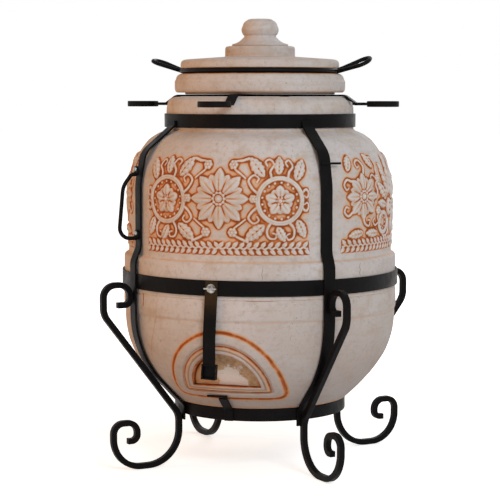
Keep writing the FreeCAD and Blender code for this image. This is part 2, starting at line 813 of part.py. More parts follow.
def on_panel(across, up):
    """The place in the panel's plane of a place on the wall: across is measured round it."""
    turn = across / jar_radius.value
    return jar_radius * math.sin(turn), shoulder_start + s.relief_lift + s.relief_grid * up


def relief_plan(name, draw):
    """Cuts through the panel's plane what draw puts in a sketch, as a prism."""
    plan = new_body(name)
    sketch = new_sketch(plan, name + "_plan", "XZ_Plane", jar_radius / 2)
    for side in (1, -1):
        draw(sketch, side)
    pad(plan, sketch, jar_radius)
    return plan


def relief(name, ornament, degrees):
    """The ornament's main forms, as a low relief that follows the jar's wall."""
    half_vine = s.vine_width / 2

    def disc(sketch, across, up, radius):
        circle(sketch, *on_panel(across, up), s.relief_grid * radius)

    def leaf(sketch, across, up, heading, length, width):
        angle = math.radians(heading)
        tip = (across + length * math.cos(angle), up + length * math.sin(angle))
        bulge = s.relief_grid * width / 2
        outline(sketch, [(*on_panel(across, up), bulge), (*on_panel(*tip), bulge)])

    def petals(sketch, side):
        for across, up, middle, count, length, width in ornament["rosettes"]:
            start = middle - 3
            for number in range(count if across or side > 0 else 0):
                heading = 90 + number * 360 / count
                angle = math.radians(heading)
                leaf(
                    sketch, side * across + start * math.cos(angle), up + start * math.sin(angle),
                    heading, length, width,
                )

    def middles(sketch, side):
        for across, up, middle, *_ in ornament["rosettes"]:
            if across or side > 0:
                disc(sketch, side * across, up, middle)
        for across, up, radius in ornament["berries"]:
            if across or side > 0:
                disc(sketch, side * across, up, radius)

    def scrolls(sketch, side):
        for across, up, radius in ornament["scrolls"]:
            place = on_panel(side * across, up)
            circle(sketch, *place, s.relief_grid * radius + half_vine)
            circle(sketch, *place, s.relief_grid * radius - half_vine)

    def leaves(sketch, side):
        for across, up, heading, length, width in ornament["leaves"]:
            if across or side > 0:
                leaf(
                    sketch, side * across, up, heading if side > 0 else 180 - heading,
                    length, width,
                )

    plans = [
        relief_plan(f"{name}_{kind.__name__}", kind) for kind in (petals, middles, scrolls, leaves)
    ]
    forms = doc.addObject("Part::MultiFuse", name + "_forms")
    forms.Shapes = plans
    coat = new_body(name + "_coat")
    turned(coat, name + "_coat", [
        (jar_radius + s.weld_gap, belt_top + s.belt_edge),
        (jar_radius + s.relief_rise, belt_top + s.belt_edge),
        (jar_radius + s.relief_rise, shoulder_start, s.shoulder_bulge),
        (shoulder_radius + s.relief_rise, shoulder_height),
        (shoulder_radius + s.weld_gap, shoulder_height, -s.shoulder_bulge),
        (jar_radius + s.weld_gap, shoulder_start),
    ])
    item = boolean("Common", name, forms, coat)
    if degrees:
        turn_about_z(item, degrees)
    node(item, name)
    return item


def opposite(name, item, across):
    """The same relief on the other side of the jar."""
    twin = doc.addObject("Part::Mirroring", name)
    twin.Source, twin.Normal = item, across
    node(twin, name)


# Lids -----------------------------------------------------------------------------------------


def main_lid():
    """Heavy lid with a moulded edge, a groove for its ring, and a collar round the vent."""
    body = new_body("main_lid")
    ring_half = s.lid_ring_bar / 2 + s.running_gap
    groove_radius = lid_neck_radius + s.lid_ring_stand - s.lid_ring_bar - s.running_gap
    flange_bottom = lid_bottom + s.lid_step_height
    round_top = flange_bottom + s.lid_round_height
    plate_edge = lid_neck_radius - s.lid_edge_round * 2
    collar_top = lid_top + s.lid_crown + s.collar_height
    turned(body, "lid", [
        (s.vent_radius, lid_bottom),
        (lid_step_radius, lid_bottom),
        (lid_step_radius, flange_bottom),
        (lid_radius - s.lid_edge_round, flange_bottom, s.lid_edge_round / 4),
        (lid_radius, flange_bottom + s.lid_foot_height),
        (lid_radius, flange_bottom + s.lid_widest_height, s.lid_round_bulge / 5),
        (
            lid_radius - s.lid_round_inset,
            flange_bottom + s.lid_round_start,
            s.lid_round_bulge / 2,
        ),
        (groove_radius + s.lid_groove_lip, round_top),
        (groove_radius, lid_ring_height - ring_half),
        (groove_radius, lid_ring_height + ring_half),
        (lid_neck_radius, lid_ring_height + ring_half),
        (lid_neck_radius, lid_top - s.lid_edge_round * 3, s.lid_edge_round / 2),
        (plate_edge, lid_top - s.lid_crown),
        (collar_radius, lid_top + s.lid_crown),
        (collar_radius, collar_top - s.collar_edge, s.collar_edge / 4),
        (collar_radius - s.collar_edge, collar_top),
        (s.vent_radius, collar_top),
    ])
    node(body, "main_lid")


def small_lid():
    """Cap of the vent, turned in one piece with its knob."""
    body = new_body("small_lid")
    neck = cap_bottom + s.cap_neck_height
    knob = cap_bottom + s.knob_height
    top = cap_bottom + s.cap_height
    turned(body, "cap", [
        (0, cap_bottom - s.spigot_length),
        (spigot_radius - s.spigot_taper, cap_bottom - s.spigot_length),
        (spigot_radius, cap_bottom - s.spigot_length + s.spigot_taper),
        (spigot_radius, cap_bottom),
        (cap_flange_radius, cap_bottom),
        (cap_flange_radius, cap_bottom + s.cap_flange_height, -2.5),
        (s.cap_neck_radius + s.cap_neck_foot, neck, -1),
        (s.cap_neck_radius, neck + s.cap_neck_length, 0.8),
        (knob_radius - 1, knob - s.knob_under, 2),
        (knob_radius - 2, knob + s.knob_side, 1.5),
        (knob_top_radius + s.knob_shoulder, top - s.knob_slope, 0.6),
        (knob_top_radius, top),
        (0, top + 0.6),
    ])
    node(body, "small_lid")


def lid_ring():
    """Steel ring of round bar in the main lid's groove."""
    ring = doc.addObject("Part::Torus", "lid_ring")
    bind(ring, "Radius1", lid_neck_radius + s.lid_ring_stand - s.lid_ring_bar / 2)
    bind(ring, "Radius2", s.lid_ring_bar / 2)
    ring.Placement.Base.z = lid_ring_height.value
    bind(ring, "Placement.Base.z", lid_ring_height)
    node(ring, "lid_ring")


def lid_handle(name, degrees):
    """A teardrop loop that leaves the ring and rises outward."""
    body = new_body(name)
    start = lid_neck_radius + s.lid_ring_stand + s.running_gap
    end = start + s.lid_handle_reach
    foot, wide = s.lid_handle_foot, s.lid_handle_half_width
    swept(body, name, "XY_Plane", [
        (start, -foot),
        (start + s.lid_handle_lead, -foot, s.lid_handle_bend),
        (end, -(wide + s.lid_handle_flare), s.lid_handle_round),
        (end, wide + s.lid_handle_flare, s.lid_handle_round),
        (start + s.lid_handle_lead, foot, s.lid_handle_bend),
        (start, foot),
    ], "YZ_Plane", start, lambda profile: circle(profile, -foot, 0, s.lid_handle_bar / 2))
    tilt = FreeCAD.Rotation(FreeCAD.Vector(0, 1, 0), -s.lid_handle_rise.value)
    heading = FreeCAD.Rotation(FreeCAD.Vector(0, 0, 1), degrees)
    pivot = FreeCAD.Vector(start.value, 0, 0)
    level = FreeCAD.Vector(0, 0, lid_ring_height.value)
    base = heading.multVec(pivot - tilt.multVec(pivot)) + level
    body.Placement = FreeCAD.Placement(base, heading.multiply(tilt))
    node(body, name)


# Cage -----------------------------------------------------------------------------------------


def bands():
    """The three bands that hug the clay."""
    for name, inner, outer, bottom, height in (
        ("base_band", base_band_inner, base_band_outer, s.base_band_bottom, s.base_band_height),
        ("mid_band", mid_band_inner, mid_band_outer, mid_band_bottom, s.mid_band_height),
        ("neck_band", neck_band_inner, neck_band_outer, neck_band_bottom, s.neck_band_height),
    ):
        node(flat_ring(name, inner, outer, bottom, height), name)


def strap(name, degrees):
    """Flat bar from the neck band down to the base band."""
    body = new_body(name)
    top = neck_band_bottom + s.strap_overlap
    swept(body, name, "XZ_Plane", [
        (strap_neck, top),
        (strap_neck, neck_foot + s.strap_neck_lead, s.strap_neck_bend),
        (strap_shoulder_radius, shoulder_height, s.strap_shoulder_bend),
        (strap_jar, strap_shoulder_end, s.strap_jar_bend),
        (strap_jar, belt_top + s.belt_edge + s.strap_belt_lead, s.strap_belt_bend),
        (strap_mid, belt_top - s.strap_lead, s.strap_belt_bend),
        (strap_mid, belt_bottom - s.strap_bowl_lead, s.strap_bowl_bend),
        (strap_knee_radius, strap_knee_height, s.strap_knee_bend),
        (strap_base, base_band_top - s.strap_lead, s.strap_foot_bend),
        (strap_base, s.base_band_bottom - s.strap_tail),
    ], "XY_Plane", top, lambda profile: outline(
        profile, rectangle(strap_neck, size(0), s.strap_thickness, s.strap_width)
    ))
    turn_about_z(body, degrees)
    node(body, name)


def leg(name, degrees):
    """Square bar: a scroll against the strap, a waist at the base band, and a curled foot."""
    body = new_body(name)
    scroll_low = scroll_top - s.scroll_drop
    scroll_end = leg_top_radius + s.curl_end + s.scroll_end_extra
    toe = leg_waist_radius + s.foot_reach
    curl = toe - s.foot_curl_reach
    curl_low = s.foot_curl_height - s.foot_curl_drop
    swept(body, name, "XZ_Plane", [
        (scroll_end, scroll_low),
        (leg_top_radius, scroll_low, s.curl_end_round),
        (leg_top_radius, scroll_top, s.scroll_round),
        (scroll_radius, scroll_top, s.scroll_round),
        (scroll_radius, scroll_foot, s.scroll_foot_round),
        (leg_waist_radius, waist_height, s.waist_round),
        (leg_waist_radius, leg_half, s.foot_heel_round),
        (toe, leg_half, s.foot_toe_round),
        (toe, s.foot_curl_height, s.foot_curl_round),
        (curl, s.foot_curl_height, s.foot_curl_round),
        (curl, curl_low, s.curl_end_round),
        (curl + s.curl_end, curl_low),
    ], "YZ_Plane", scroll_end, lambda profile: outline(
        profile, rectangle(size(0), scroll_low, s.leg_bar, s.leg_bar)
    ))
    turn_about_z(body, degrees)
    node(body, name)


def bottom_support():
    """Two crossed flat bars inside the base band, under the clay."""
    length = (base_band_inner - s.running_gap * 4) * 2
    bars = []
    for name, along, across in (
        ("support_bar_1", length, s.support_width),
        ("support_bar_2", s.support_width, length),
    ):
        bar = doc.addObject("Part::Box", name)
        bind(bar, "Length", along)
        bind(bar, "Width", across)
        bind(bar, "Height", s.support_thickness)
        bind(bar, "Placement.Base.x", -along / 2)
        bind(bar, "Placement.Base.y", -across / 2)
        bind(bar, "Placement.Base.z", s.base_band_bottom)
        bars.append(bar)
    node(boolean("Fuse", "bottom_support", *bars), "bottom_support")


def radial_disc(name, near, far, height, radius):
    """A disc whose axis points away from the jar's axis, from near to far."""
    disc = doc.addObject("Part::Cylinder", name)
    bind(disc, "Radius", radius)
    bind(disc, "Height", far - near)
    disc.Placement.Rotation = FreeCAD.Rotation(FreeCAD.Vector(0, 1, 0), 90)
    bind(disc, "Placement.Base.x", near)
    bind(disc, "Placement.Base.z", height)
    return disc


handle_face = strap_jar + strap_half + s.weld_gap


def carry_handle(name, degrees):
    """A bow of round bar with a flattened, drilled eye at each end."""
    start = handle_face + s.eye_thickness / 2
    bow = new_body(name + "_bow")
    swept(bow, name + "_bow", "XZ_Plane", [
        (start, handle_top),
        (start + 11, handle_top, 10),
        (handle_reach, handle_shoulder, s.handle_shoulder_bend),
        (handle_belly, handle_bottom, s.handle_bottom_bend),
        (start, handle_bottom),
    ], "YZ_Plane", start, lambda profile: circle(
        profile, 0, handle_top, s.handle_bar / 2
    ))
    item = bow
    for eye, height in enumerate((handle_top + s.eye_offset, handle_bottom + s.eye_offset)):
        disc = radial_disc(
            f"{name}_eye_{eye}", handle_face, handle_face + s.eye_thickness, height, s.eye_radius
        )
        item = boolean("Fuse", f"{name}_with_eye_{eye}", item, disc)
    turn_about_z(item, degrees)
    node(item, name)


def handle_rivets(turns):
    """Domed rivet heads on the four eyes of the carry handles."""
    face = handle_face + s.eye_thickness + s.weld_gap
    heads = []
    for turn in turns:
        for height in (handle_top + s.rivet_offset, handle_bottom + s.rivet_offset):
            head = doc.addObject("Part::Sphere", f"rivet_{len(heads)}")
            bind(head, "Radius", s.rivet_head)
            head.Angle1, head.Angle2 = 0, 90
            pole_outward = FreeCAD.Rotation(FreeCAD.Vector(0, 1, 0), 90)
            heading = FreeCAD.Rotation(FreeCAD.Vector(0, 0, 1), turn.value)
            angle = math.radians(turn.value)
            head.Placement.Rotation = heading.multiply(pole_outward)
            bind(head, "Placement.Base.x", face * math.cos(angle))
            bind(head, "Placement.Base.y", face * math.sin(angle))
            bind(head, "Placement.Base.z", height)
            heads.append(head)
    group = doc.addObject("Part::Compound", "handle_rivets")
    group.Links = heads
    node(group, "handle_rivets")


def tool_peg(name, degrees):
    """Short rod welded across a strap below the neck, to hang a tool on."""
    upper = (shoulder_height, strap_shoulder_radius)
    lower = (strap_shoulder_end, strap_jar)
    along = (upper[0] - peg_height) / (upper[0] - lower[0])
    middle = upper[1] + (lower[1] - upper[1]) * along + strap_half + s.peg_bar / 2 + 0.5
    peg = doc.addObject("Part::Cylinder", name)
    bind(peg, "Radius", s.peg_bar / 2)
    bind(peg, "Height", s.peg_length)
    turn = math.radians(degrees)
    start = FreeCAD.Vector(middle.value, -s.strap_width.value / 2 + 2, peg_height.value)
    spin = FreeCAD.Rotation(FreeCAD.Vector(0, 0, 1), degrees)
    peg.Placement = FreeCAD.Placement(
        spin.multVec(start), spin.multiply(FreeCAD.Rotation(FreeCAD.Vector(1, 0, 0), -90))
    )
    bind(peg, "Placement.Base.x", middle * math.cos(turn) + (s.strap_width / 2 - 2) * math.sin(turn))
    bind(peg, "Placement.Base.y", middle * math.sin(turn) - (s.strap_width / 2 - 2) * math.cos(turn))
    bind(peg, "Placement.Base.z", peg_height)
    node(peg, name)


# Latch and keeper at the ash door ---------------------------------------------------------------

latch_back = mid_band_outer + s.running_gap
latch_front = latch_back + s.latch_thickness
latch_height = mid_band_bottom + s.mid_band_height / 2


def hang_latch(item):
    """Puts a piece drawn round the stud at its place, leaning as it hangs."""
    lean = FreeCAD.Rotation(FreeCAD.Vector(0, 1, 0), s.latch_lean.value)
    place = FreeCAD.Vector(-s.latch_offset.value, 0, latch_height.value)
    item.Placement = FreeCAD.Placement(place, lean)
    bind(item, "Placement.Base.x", -s.latch_offset)
    bind(item, "Placement.Base.z", latch_height)
    bind(item, "Placement.Rotation.Angle", s.latch_lean)


def latch_bar():
    """Flat bar that swings on the stud, bent towards the door, with a hole for the stud."""
    body = new_body("latch_bar")
    plane = latch_back + s.latch_thickness / 2
    swept(body, "latch_bar", "YZ_Plane", [
        (-plane, s.latch_above),
        (-plane, -s.latch_bend, s.latch_bend_round),
        (-(plane - s.latch_set_in), -s.latch_length),
    ], "XY_Plane", s.latch_above, lambda profile: outline(
        profile, rectangle(size(0), -plane, s.latch_width, s.latch_thickness)
    ))
    hole = new_sketch(body, "latch_hole", "XZ_Plane", plane)
    circle(hole, 0, 0, s.stud_radius + s.running_gap)
    pocket(body, hole, s.latch_thickness * 4)
    hang_latch(body)
    node(body, "latch_bar")


def latch_pad():
    """Short square tube under the bar's end, open towards the front."""
    body = new_body("latch_pad")
    front = latch_front - s.latch_set_in + 1
    face = new_sketch(body, "latch_pad_face", "XZ_Plane", front - s.pad_depth)
    middle = -(s.latch_length + s.running_gap * 2 + s.pad_size / 2)
    inside = s.pad_size - s.pad_wall * 2
    outline(face, rectangle(size(0), middle, s.pad_size, s.pad_size))
    outline(face, rectangle(size(0), middle, inside, inside))
    pad(body, face, s.pad_depth)
    hang_latch(body)
    node(body, "latch_pad")


def forward_disc(name, back, front, radius):
    """A disc on the stud's axis, from back to front as distances in front of the jar's axis."""
    disc = doc.addObject("Part::Cylinder", name)
    bind(disc, "Radius", radius)
    bind(disc, "Height", front - back)
    disc.Placement.Rotation = FreeCAD.Rotation(FreeCAD.Vector(1, 0, 0), 90)
    bind(disc, "Placement.Base.x", -s.latch_offset)
    bind(disc, "Placement.Base.y", -back)
    bind(disc, "Placement.Base.z", latch_height)
    return disc


def latch_fastening():
    """Stud on the mid band, with a washer and a wing nut that hold the latch bar."""
    stud_back = mid_band_outer + s.weld_gap
    stud = forward_disc("latch_stud", stud_back, stud_back + s.stud_length, s.stud_radius)
    node(stud, "latch_stud")

    washer_back = latch_front + s.running_gap
    washer_front = washer_back + s.washer_thickness
    bore = s.stud_radius + s.running_gap
    disc = forward_disc("washer_disc", washer_back, washer_front, s.washer_radius)
    hole = forward_disc("washer_hole", washer_back - 1, washer_front + 1, bore)
    node(boolean("Cut", "latch_washer", disc, hole), "latch_washer")

    nut_back = washer_front + s.weld_gap
    nut_front = nut_back + s.nut_height
    hub = forward_disc("nut_hub", nut_back, nut_front, s.nut_radius)
    wings = doc.addObject("Part::Box", "nut_wings")
    bind(wings, "Length", s.wing_span)
    bind(wings, "Width", s.nut_height)
    bind(wings, "Height", s.wing_thickness)
    bind(wings, "Placement.Base.x", -s.latch_offset - s.wing_span / 2)
    bind(wings, "Placement.Base.y", -nut_front)
    bind(wings, "Placement.Base.z", latch_height - s.wing_thickness / 2)
    blank = boolean("Fuse", "nut_blank", hub, wings)
    thread = forward_disc("nut_thread", nut_back - 1, nut_front + 1, bore)
    node(boolean("Cut", "latch_wing_nut", blank, thread), "latch_wing_nut")


def keeper():
    """Flat tab on the base band that leans out along the bowl, with a pin across its top."""
    body = new_body("keeper_tab")
    half = s.strap_thickness / 2
    low = base_band_outer + s.weld_gap + half
    top = wall_below_knee(keeper_top) + s.frame_rise + s.strap_thickness * 2 + s.running_gap
    swept(body, "keeper_tab", "YZ_Plane", [
        (-low, s.base_band_bottom),
        (-low, base_band_top - 4, 8),
        (-top, keeper_top),
    ], "XY_Plane", s.base_band_bottom, lambda profile: outline(
        profile, rectangle(-s.latch_offset, -low, s.keeper_width, s.strap_thickness)
    ))
    node(body, "keeper_tab")

    pin = doc.addObject("Part::Cylinder", "keeper_pin")
    bind(pin, "Radius", s.keeper_pin_bar / 2)
    bind(pin, "Height", s.keeper_pin_length)
    pin.Placement.Rotation = FreeCAD.Rotation(FreeCAD.Vector(0, 1, 0), 90)
    bind(pin, "Placement.Base.x", s.keeper_width / 2 - s.latch_offset - s.keeper_pin_length)
    bind(pin, "Placement.Base.y", -top)
    bind(pin, "Placement.Base.z", keeper_top + half + s.keeper_pin_bar / 2)
    node(pin, "keeper_pin")


# Skewer hanger ----------------------------------------------------------------------------------


def hanger_hub():
    """Flat ring that joins the four arms over the mouth."""
    hub = flat_ring("hanger_hub", s.hub_bore, s.hub_radius, hanger_bottom, s.hanger_thickness)
    node(hub, "hanger_hub")


def hanger_arm(name, degrees):
    """Flat bar from the hub over the rim to its hoop."""
    body = new_body(name)
    level = hanger_bottom + s.hanger_thickness / 2
    rim_edge = mouth_radius + s.rim_flat
    swept(body, name, "XZ_Plane", [
        (s.hub_radius + s.weld_gap, level),
        (rim_edge + 8, level, 18),
        (s.neck_radius + 12, hoop_level, 12),
        (hoop_reach - s.hoop_radius * 2 - s.weld_gap * 2, hoop_level),
    ], "YZ_Plane", s.hub_radius + s.weld_gap, lambda profile: outline(
        profile, rectangle(size(0), level, s.hanger_width, s.hanger_thickness)
    ))
    turn_about_z(body, degrees)
    node(body, name)


def hanger_hoop(name, degrees):
    """Hoop of flat bar on edge, for skewers, set to one side of its arm."""
    body = new_body(name)
    plan = new_sketch(body, name + "_plan", "XY_Plane", hoop_level - s.hoop_height / 2)
    middle = hoop_reach - s.hoop_radius
    circle(plan, middle, -s.hoop_offset, s.hoop_radius)
    circle(plan, middle, -s.hoop_offset, s.hoop_radius - s.hoop_bar)
    pad(body, plan, s.hoop_height)
    turn_about_z(body, degrees)
    node(body, name)


# Assembly -----------------------------------------------------------------------------------------

FRONT_LEFT, FRONT_RIGHT, BACK_RIGHT, BACK_LEFT = (
    270 - s.strap_azimuth, 270 + s.strap_azimuth, 90 - s.strap_azimuth, 90 + s.strap_azimuth
)
CORNERS = {
    "front_left": FRONT_LEFT,
    "front_right": FRONT_RIGHT,
    "back_right": BACK_RIGHT,
    "back_left": BACK_LEFT,
}
SIDES = {"front": 270, "right": 0, "back": 90, "left": 180}

body_lower()
door_frames()
ash_pit()
body_upper()
opposite("relief_back", relief("relief_front", VINE, 0), FreeCAD.Vector(0, 1, 0))
opposite("relief_left", relief("relief_right", PALMETTE, 90), FreeCAD.Vector(1, 0, 0))
ash_plug()
grate()
main_lid()
small_lid()
lid_ring()
lid_handle("lid_handle_right", 0)
lid_handle("lid_handle_left", 180)
bands()
for corner, degrees in CORNERS.items():
    strap("strap_" + corner, degrees)
    leg("leg_" + corner, degrees)
bottom_support()
carry_handle("carry_handle_left", FRONT_LEFT)
carry_handle("carry_handle_right", BACK_RIGHT)
handle_rivets((FRONT_LEFT, BACK_RIGHT))
tool_peg("tool_peg_right", FRONT_RIGHT.value)
tool_peg("tool_peg_left", BACK_LEFT.value)
latch_bar()
latch_pad()
latch_fastening()
keeper()
hanger_hub()
for side, degrees in SIDES.items():
    hanger_arm("hanger_arm_" + side, degrees)
    hanger_hoop("hanger_hoop_" + side, degrees)

doc.recompute()
for item in doc.Objects:
    if "Invalid" in item.State or "Error" in item.State:
        raise RuntimeError(f"{item.Label} did not recompute: {item.State}")
for piece in nodes:
    if piece.Shape.isNull() or not piece.Shape.isValid():
        raise RuntimeError(f"{piece.Label} has no valid shape")
    piece.Shape.exportStep(f"parts/{piece.Label}.step")
    print(f"{piece.Label:20} {len(piece.Shape.Solids)} solid, {piece.Shape.Volume / 1000:9.1f} cm3")
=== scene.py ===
"""Clay tandoor oven with a wrought iron cage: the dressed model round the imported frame."""

import bmesh
import bpy
import json
import numpy as np
from math import cos, hypot, pi, radians, sin, sqrt
from mathutils import Matrix, Vector, noise

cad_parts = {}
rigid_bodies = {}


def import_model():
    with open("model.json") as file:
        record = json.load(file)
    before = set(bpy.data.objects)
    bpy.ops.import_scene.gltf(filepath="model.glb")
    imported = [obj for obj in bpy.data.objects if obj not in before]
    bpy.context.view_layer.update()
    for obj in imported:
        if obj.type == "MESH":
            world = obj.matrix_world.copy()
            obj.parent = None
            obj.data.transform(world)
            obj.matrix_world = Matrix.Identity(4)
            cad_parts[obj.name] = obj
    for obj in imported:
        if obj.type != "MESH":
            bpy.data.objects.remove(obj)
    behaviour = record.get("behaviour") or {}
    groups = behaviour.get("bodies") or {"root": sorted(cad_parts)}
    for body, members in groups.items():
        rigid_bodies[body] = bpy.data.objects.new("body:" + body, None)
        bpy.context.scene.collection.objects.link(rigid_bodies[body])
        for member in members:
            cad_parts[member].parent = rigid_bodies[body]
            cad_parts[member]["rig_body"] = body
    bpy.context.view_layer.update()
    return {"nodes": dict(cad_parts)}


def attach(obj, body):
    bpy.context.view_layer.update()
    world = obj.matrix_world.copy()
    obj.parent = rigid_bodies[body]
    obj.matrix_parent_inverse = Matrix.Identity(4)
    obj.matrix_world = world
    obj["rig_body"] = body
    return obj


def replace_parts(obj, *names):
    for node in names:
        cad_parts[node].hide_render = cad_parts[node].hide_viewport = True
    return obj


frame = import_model()

MM = 0.001

# Sizes in millimetres, as in the solids ---------------------------------------------------------

SEAM = 390.5
BELT_RADIUS = 286.5
JAR_RADIUS = 277.0
INNER_BELLY = 241.5
DOOR_RADIUS = 70.0
DOOR_SILL = 187.0
PIT_RADIUS = 125.0
FRAME_RISE = 4.0
SIDES = {"front": 270, "right": 0, "back": 90, "left": 180}

# Each corner: distance from the axis, height, rounding, bulge of the run that starts there.
# The bowl's small step at the knee, at 323 to 327, isn't in the solids.
JAR_UPPER = [
    (INNER_BELLY, SEAM, 0, 0),
    (BELT_RADIUS, SEAM, 0, 0),
    (BELT_RADIUS, 437, 3.5, 0),
    (JAR_RADIUS, 443, 5, 0),
    (JAR_RADIUS, 540, 40, 8),
    (254, 653, 30, 6),
    (200.6, 694, 2, 0),
    (196.7, 697.9, 2, 0),
    (196.7, 746, 10, 5),
    (176, 765, 6, 0),
    (156, 765, 3, 1),
    (152, 761, 3, 0),
    (152, 694, 12, 0),
    (212, 630, 25, -7),
]
JAR_LOWER = [
    (0, 112.3, 0, 0),
    (177.2, 112.3, 3, 0),
    (177.2, 134.3, 1, 0),
    (182, 134.3, 2.5, 2.5),
    (252, 208, 25, 10),
    (284, 323, 4, 0),
    (BELT_RADIUS, 327, 3, 0.6),
    (BELT_RADIUS, 364.4, 1, 0),
    (284.9, 366, 1, 0),
    (BELT_RADIUS, 367.6, 1, 0),
    (BELT_RADIUS, SEAM, 0, 0),
    (INNER_BELLY, SEAM, 0, -7),
    (227.5, 335, 8, 0),
    (207, 208, 15, 0),
    (161.3, 157.3, 5, 0),
    (0, 157.3, 0, 0),
]
LID_MAIN = [
    (44, 769.6, 3, 0),
    (157, 769.6, 1.5, 0),
    (157, 773.6, 1, 0),
    (175, 773.6, 3, 1),
    (179, 783.6, 6, 0),
    (179, 790.6, 6, 1.3),
    (176.5, 800.6, 5, 3.2),
    (165.2, 812.6, 2, 0),
    (158.2, 813.1, 1.5, 0),
    (158.2, 823.7, 1.5, 0),
    (166.5, 823.7, 2.5, 0),
    (166.5, 833, 3, 2),
    (158.5, 842, 4, 0),
    (73.5, 848, 2.5, 0),
    (73.5, 865, 3, 1.2),
    (68.5, 870, 3, 0),
    (44, 870, 2.5, 0),
]
LID_SMALL = [
    (0, 855.3, 0, 0),
    (39.5, 855.3, 1, 0),
    (42.5, 858.3, 1, 0),
    (42.5, 870.3, 1, 0),
    (59, 870.3, 1.5, 0),
    (59, 874.3, 2, -2.5),
    (36, 887.3, 3, -1),
    (33, 892.3, 3, 0.8),
    (37.7, 897.3, 3, 2),
    (36.7, 912.3, 5, 1.5),
    (29, 923.2, 4, 0.6),
    (20, 926.7, 2, 0),
    (0, 927.2, 0, 0),
]


# Outlines and turned pieces ---------------------------------------------------------------------


def bulged(start, end, bulge, share):
    """A point of the run from start to end, which bulges to the right of its course."""
    run = end - start
    right = np.array([run[1], -run[0]]) / max(hypot(*run), 1e-9)
    return start + run * share + right * bulge * 4 * share * (1 - share)


def soft_outline(corners, step, closed=True):
    """Points along the corners, whose roundings are curves between the runs that meet there."""
    spots = [np.array(c[:2], float) for c in corners]
    count = len(spots)
    points = []
    for i in range(count if closed else count - 1):
        start, end = spots[i], spots[(i + 1) % count]
        length = hypot(*(end - start))
        low = min(corners[i][2] / length, 0.49)
        high = 1 - min(corners[(i + 1) % count][2] / length, 0.49)
        runs = max(1, round(length * (high - low) / step))
        shares = np.linspace(low, high, runs + 1)
        points += [bulged(start, end, corners[i][3], share) for share in shares]
        if corners[(i + 1) % count][2] > 0:
            after = spots[(i + 2) % count]
            leave = min(corners[(i + 1) % count][2] / hypot(*(after - end)), 0.49)
            a = points[-1]
            b = bulged(end, after, corners[(i + 1) % count][3], leave)
            for t in (0.2, 0.4, 0.6, 0.8):
                points.append(a * (1 - t) ** 2 + end * 2 * t * (1 - t) + b * t * t)
    kept = [points[0]]
    for point in points[1:]:
        if hypot(*(point - kept[-1])) > 0.05:
            kept.append(point)
    return np.array(kept)


def outer_face(corners, low, high):
    """Heights and radii of an outline's outer run between two of its corners."""
    points = soft_outline(corners[low:high + 1], 2.0, closed=False)
    order = np.argsort(points[:, 1], kind="stable")
    return points[order, 1], points[order, 0]


BOWL_FACE = outer_face(JAR_LOWER, 3, 7)
JAR_FACE = outer_face(JAR_UPPER, 1, 6)


def hand_worked(x, y, z):
    """How far the clay stands back from its true shape there, in millimetres."""
    slow = noise.noise(Vector((x, y, z)) / 95)
    quick = noise.noise(Vector((x, y, z * 1.6 + 900)) / 31)
    return 0.55 + 0.75 * slow + 0.22 * quick


def build(name, vertices, faces, body, slot, material, smooth=True, **values):
    """A mesh piece from points in millimetres. Values become point attributes for its paint."""
    mesh = bpy.data.meshes.new(name)
    points = np.asarray(vertices, float) * MM
    mesh.from_pydata(points.tolist(), [], faces)
    for key, value in values.items():
        layer = mesh.attributes.new(key, "FLOAT", "POINT")
        layer.data.foreach_set("value", np.asarray(value, np.float32).ravel())
    tidy = bmesh.new()
    tidy.from_mesh(mesh)
    bmesh.ops.recalc_face_normals(tidy, faces=tidy.faces)
    tidy.to_mesh(mesh)
    tidy.free()
    mesh.polygons.foreach_set("use_smooth", [smooth] * len(mesh.polygons))
    mesh.materials.append(material)
    piece = bpy.data.objects.new(name, mesh)
    bpy.context.scene.collection.objects.link(piece)
    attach(piece, body)
    return piece


def grid_faces(rows, columns, wrap_rows=False, wrap_columns=False, keep=None):
    """Quads of a grid of points stored row by row."""
    faces = []
    for i in range(rows if wrap_rows else rows - 1):
        for j in range(columns if wrap_columns else columns - 1):
            if keep is not None and not keep[i][j]:
                continue
            k, l = (i + 1) % rows, (j + 1) % columns
            faces.append((i * columns + j, i * columns + l, k * columns + l, k * columns + j))
    return faces


def lathe(name, corners, body, material, step, turns, lines, soot=None, keep=None, dents=1.0):
    """A turned clay piece. Lines are (height, half width, strength) where wash has settled."""
    points = soft_outline(corners, step)
    on_axis = points[:, 0] < 0.01
    rings = points[~on_axis]
    closed = not on_axis.any()
    angles = np.arange(turns) * 2 * pi / turns
    vertices, wash, black = [], [], []
    for radius, height in rings:
        strength = sum(
            power * np.exp(-((height - level) / width) ** 2) for level, width, power in lines
        )
        dark = soot(radius, height) if soot else 0
        for angle in angles:
            x, y = radius * cos(angle), radius * sin(angle)
            back = hand_worked(x, y, height) * dents
            away = 1 - back / max(radius, 30)
            vertices.append((x * away, y * away, height))
            wash.append(strength)
            black.append(dark)
    rows = len(rings)
    mask = None
    if keep:
        middle = (rings + np.roll(rings, -1, axis=0)) / 2
        spread = angles + pi / turns
        mask = [[keep(r * cos(a), r * sin(a), h) for a in spread] for r, h in middle]
    faces = grid_faces(rows, turns, wrap_rows=closed, wrap_columns=True, keep=mask)
    if not closed:
        for row, height in ((0, points[on_axis][0][1]), (rows - 1, points[on_axis][-1][1])):
            centre = len(vertices)
            vertices.append((0, 0, height))
            wash.append(0)
            black.append(soot(0, height) if soot else 0)
            faces += [
                (row * turns + j, row * turns + (j + 1) % turns, centre) for j in range(turns)
            ]
    return build(name, vertices, faces, body, "clay", material, stain=wash, soot=black)


# Paint ------------------------------------------------------------------------------------------


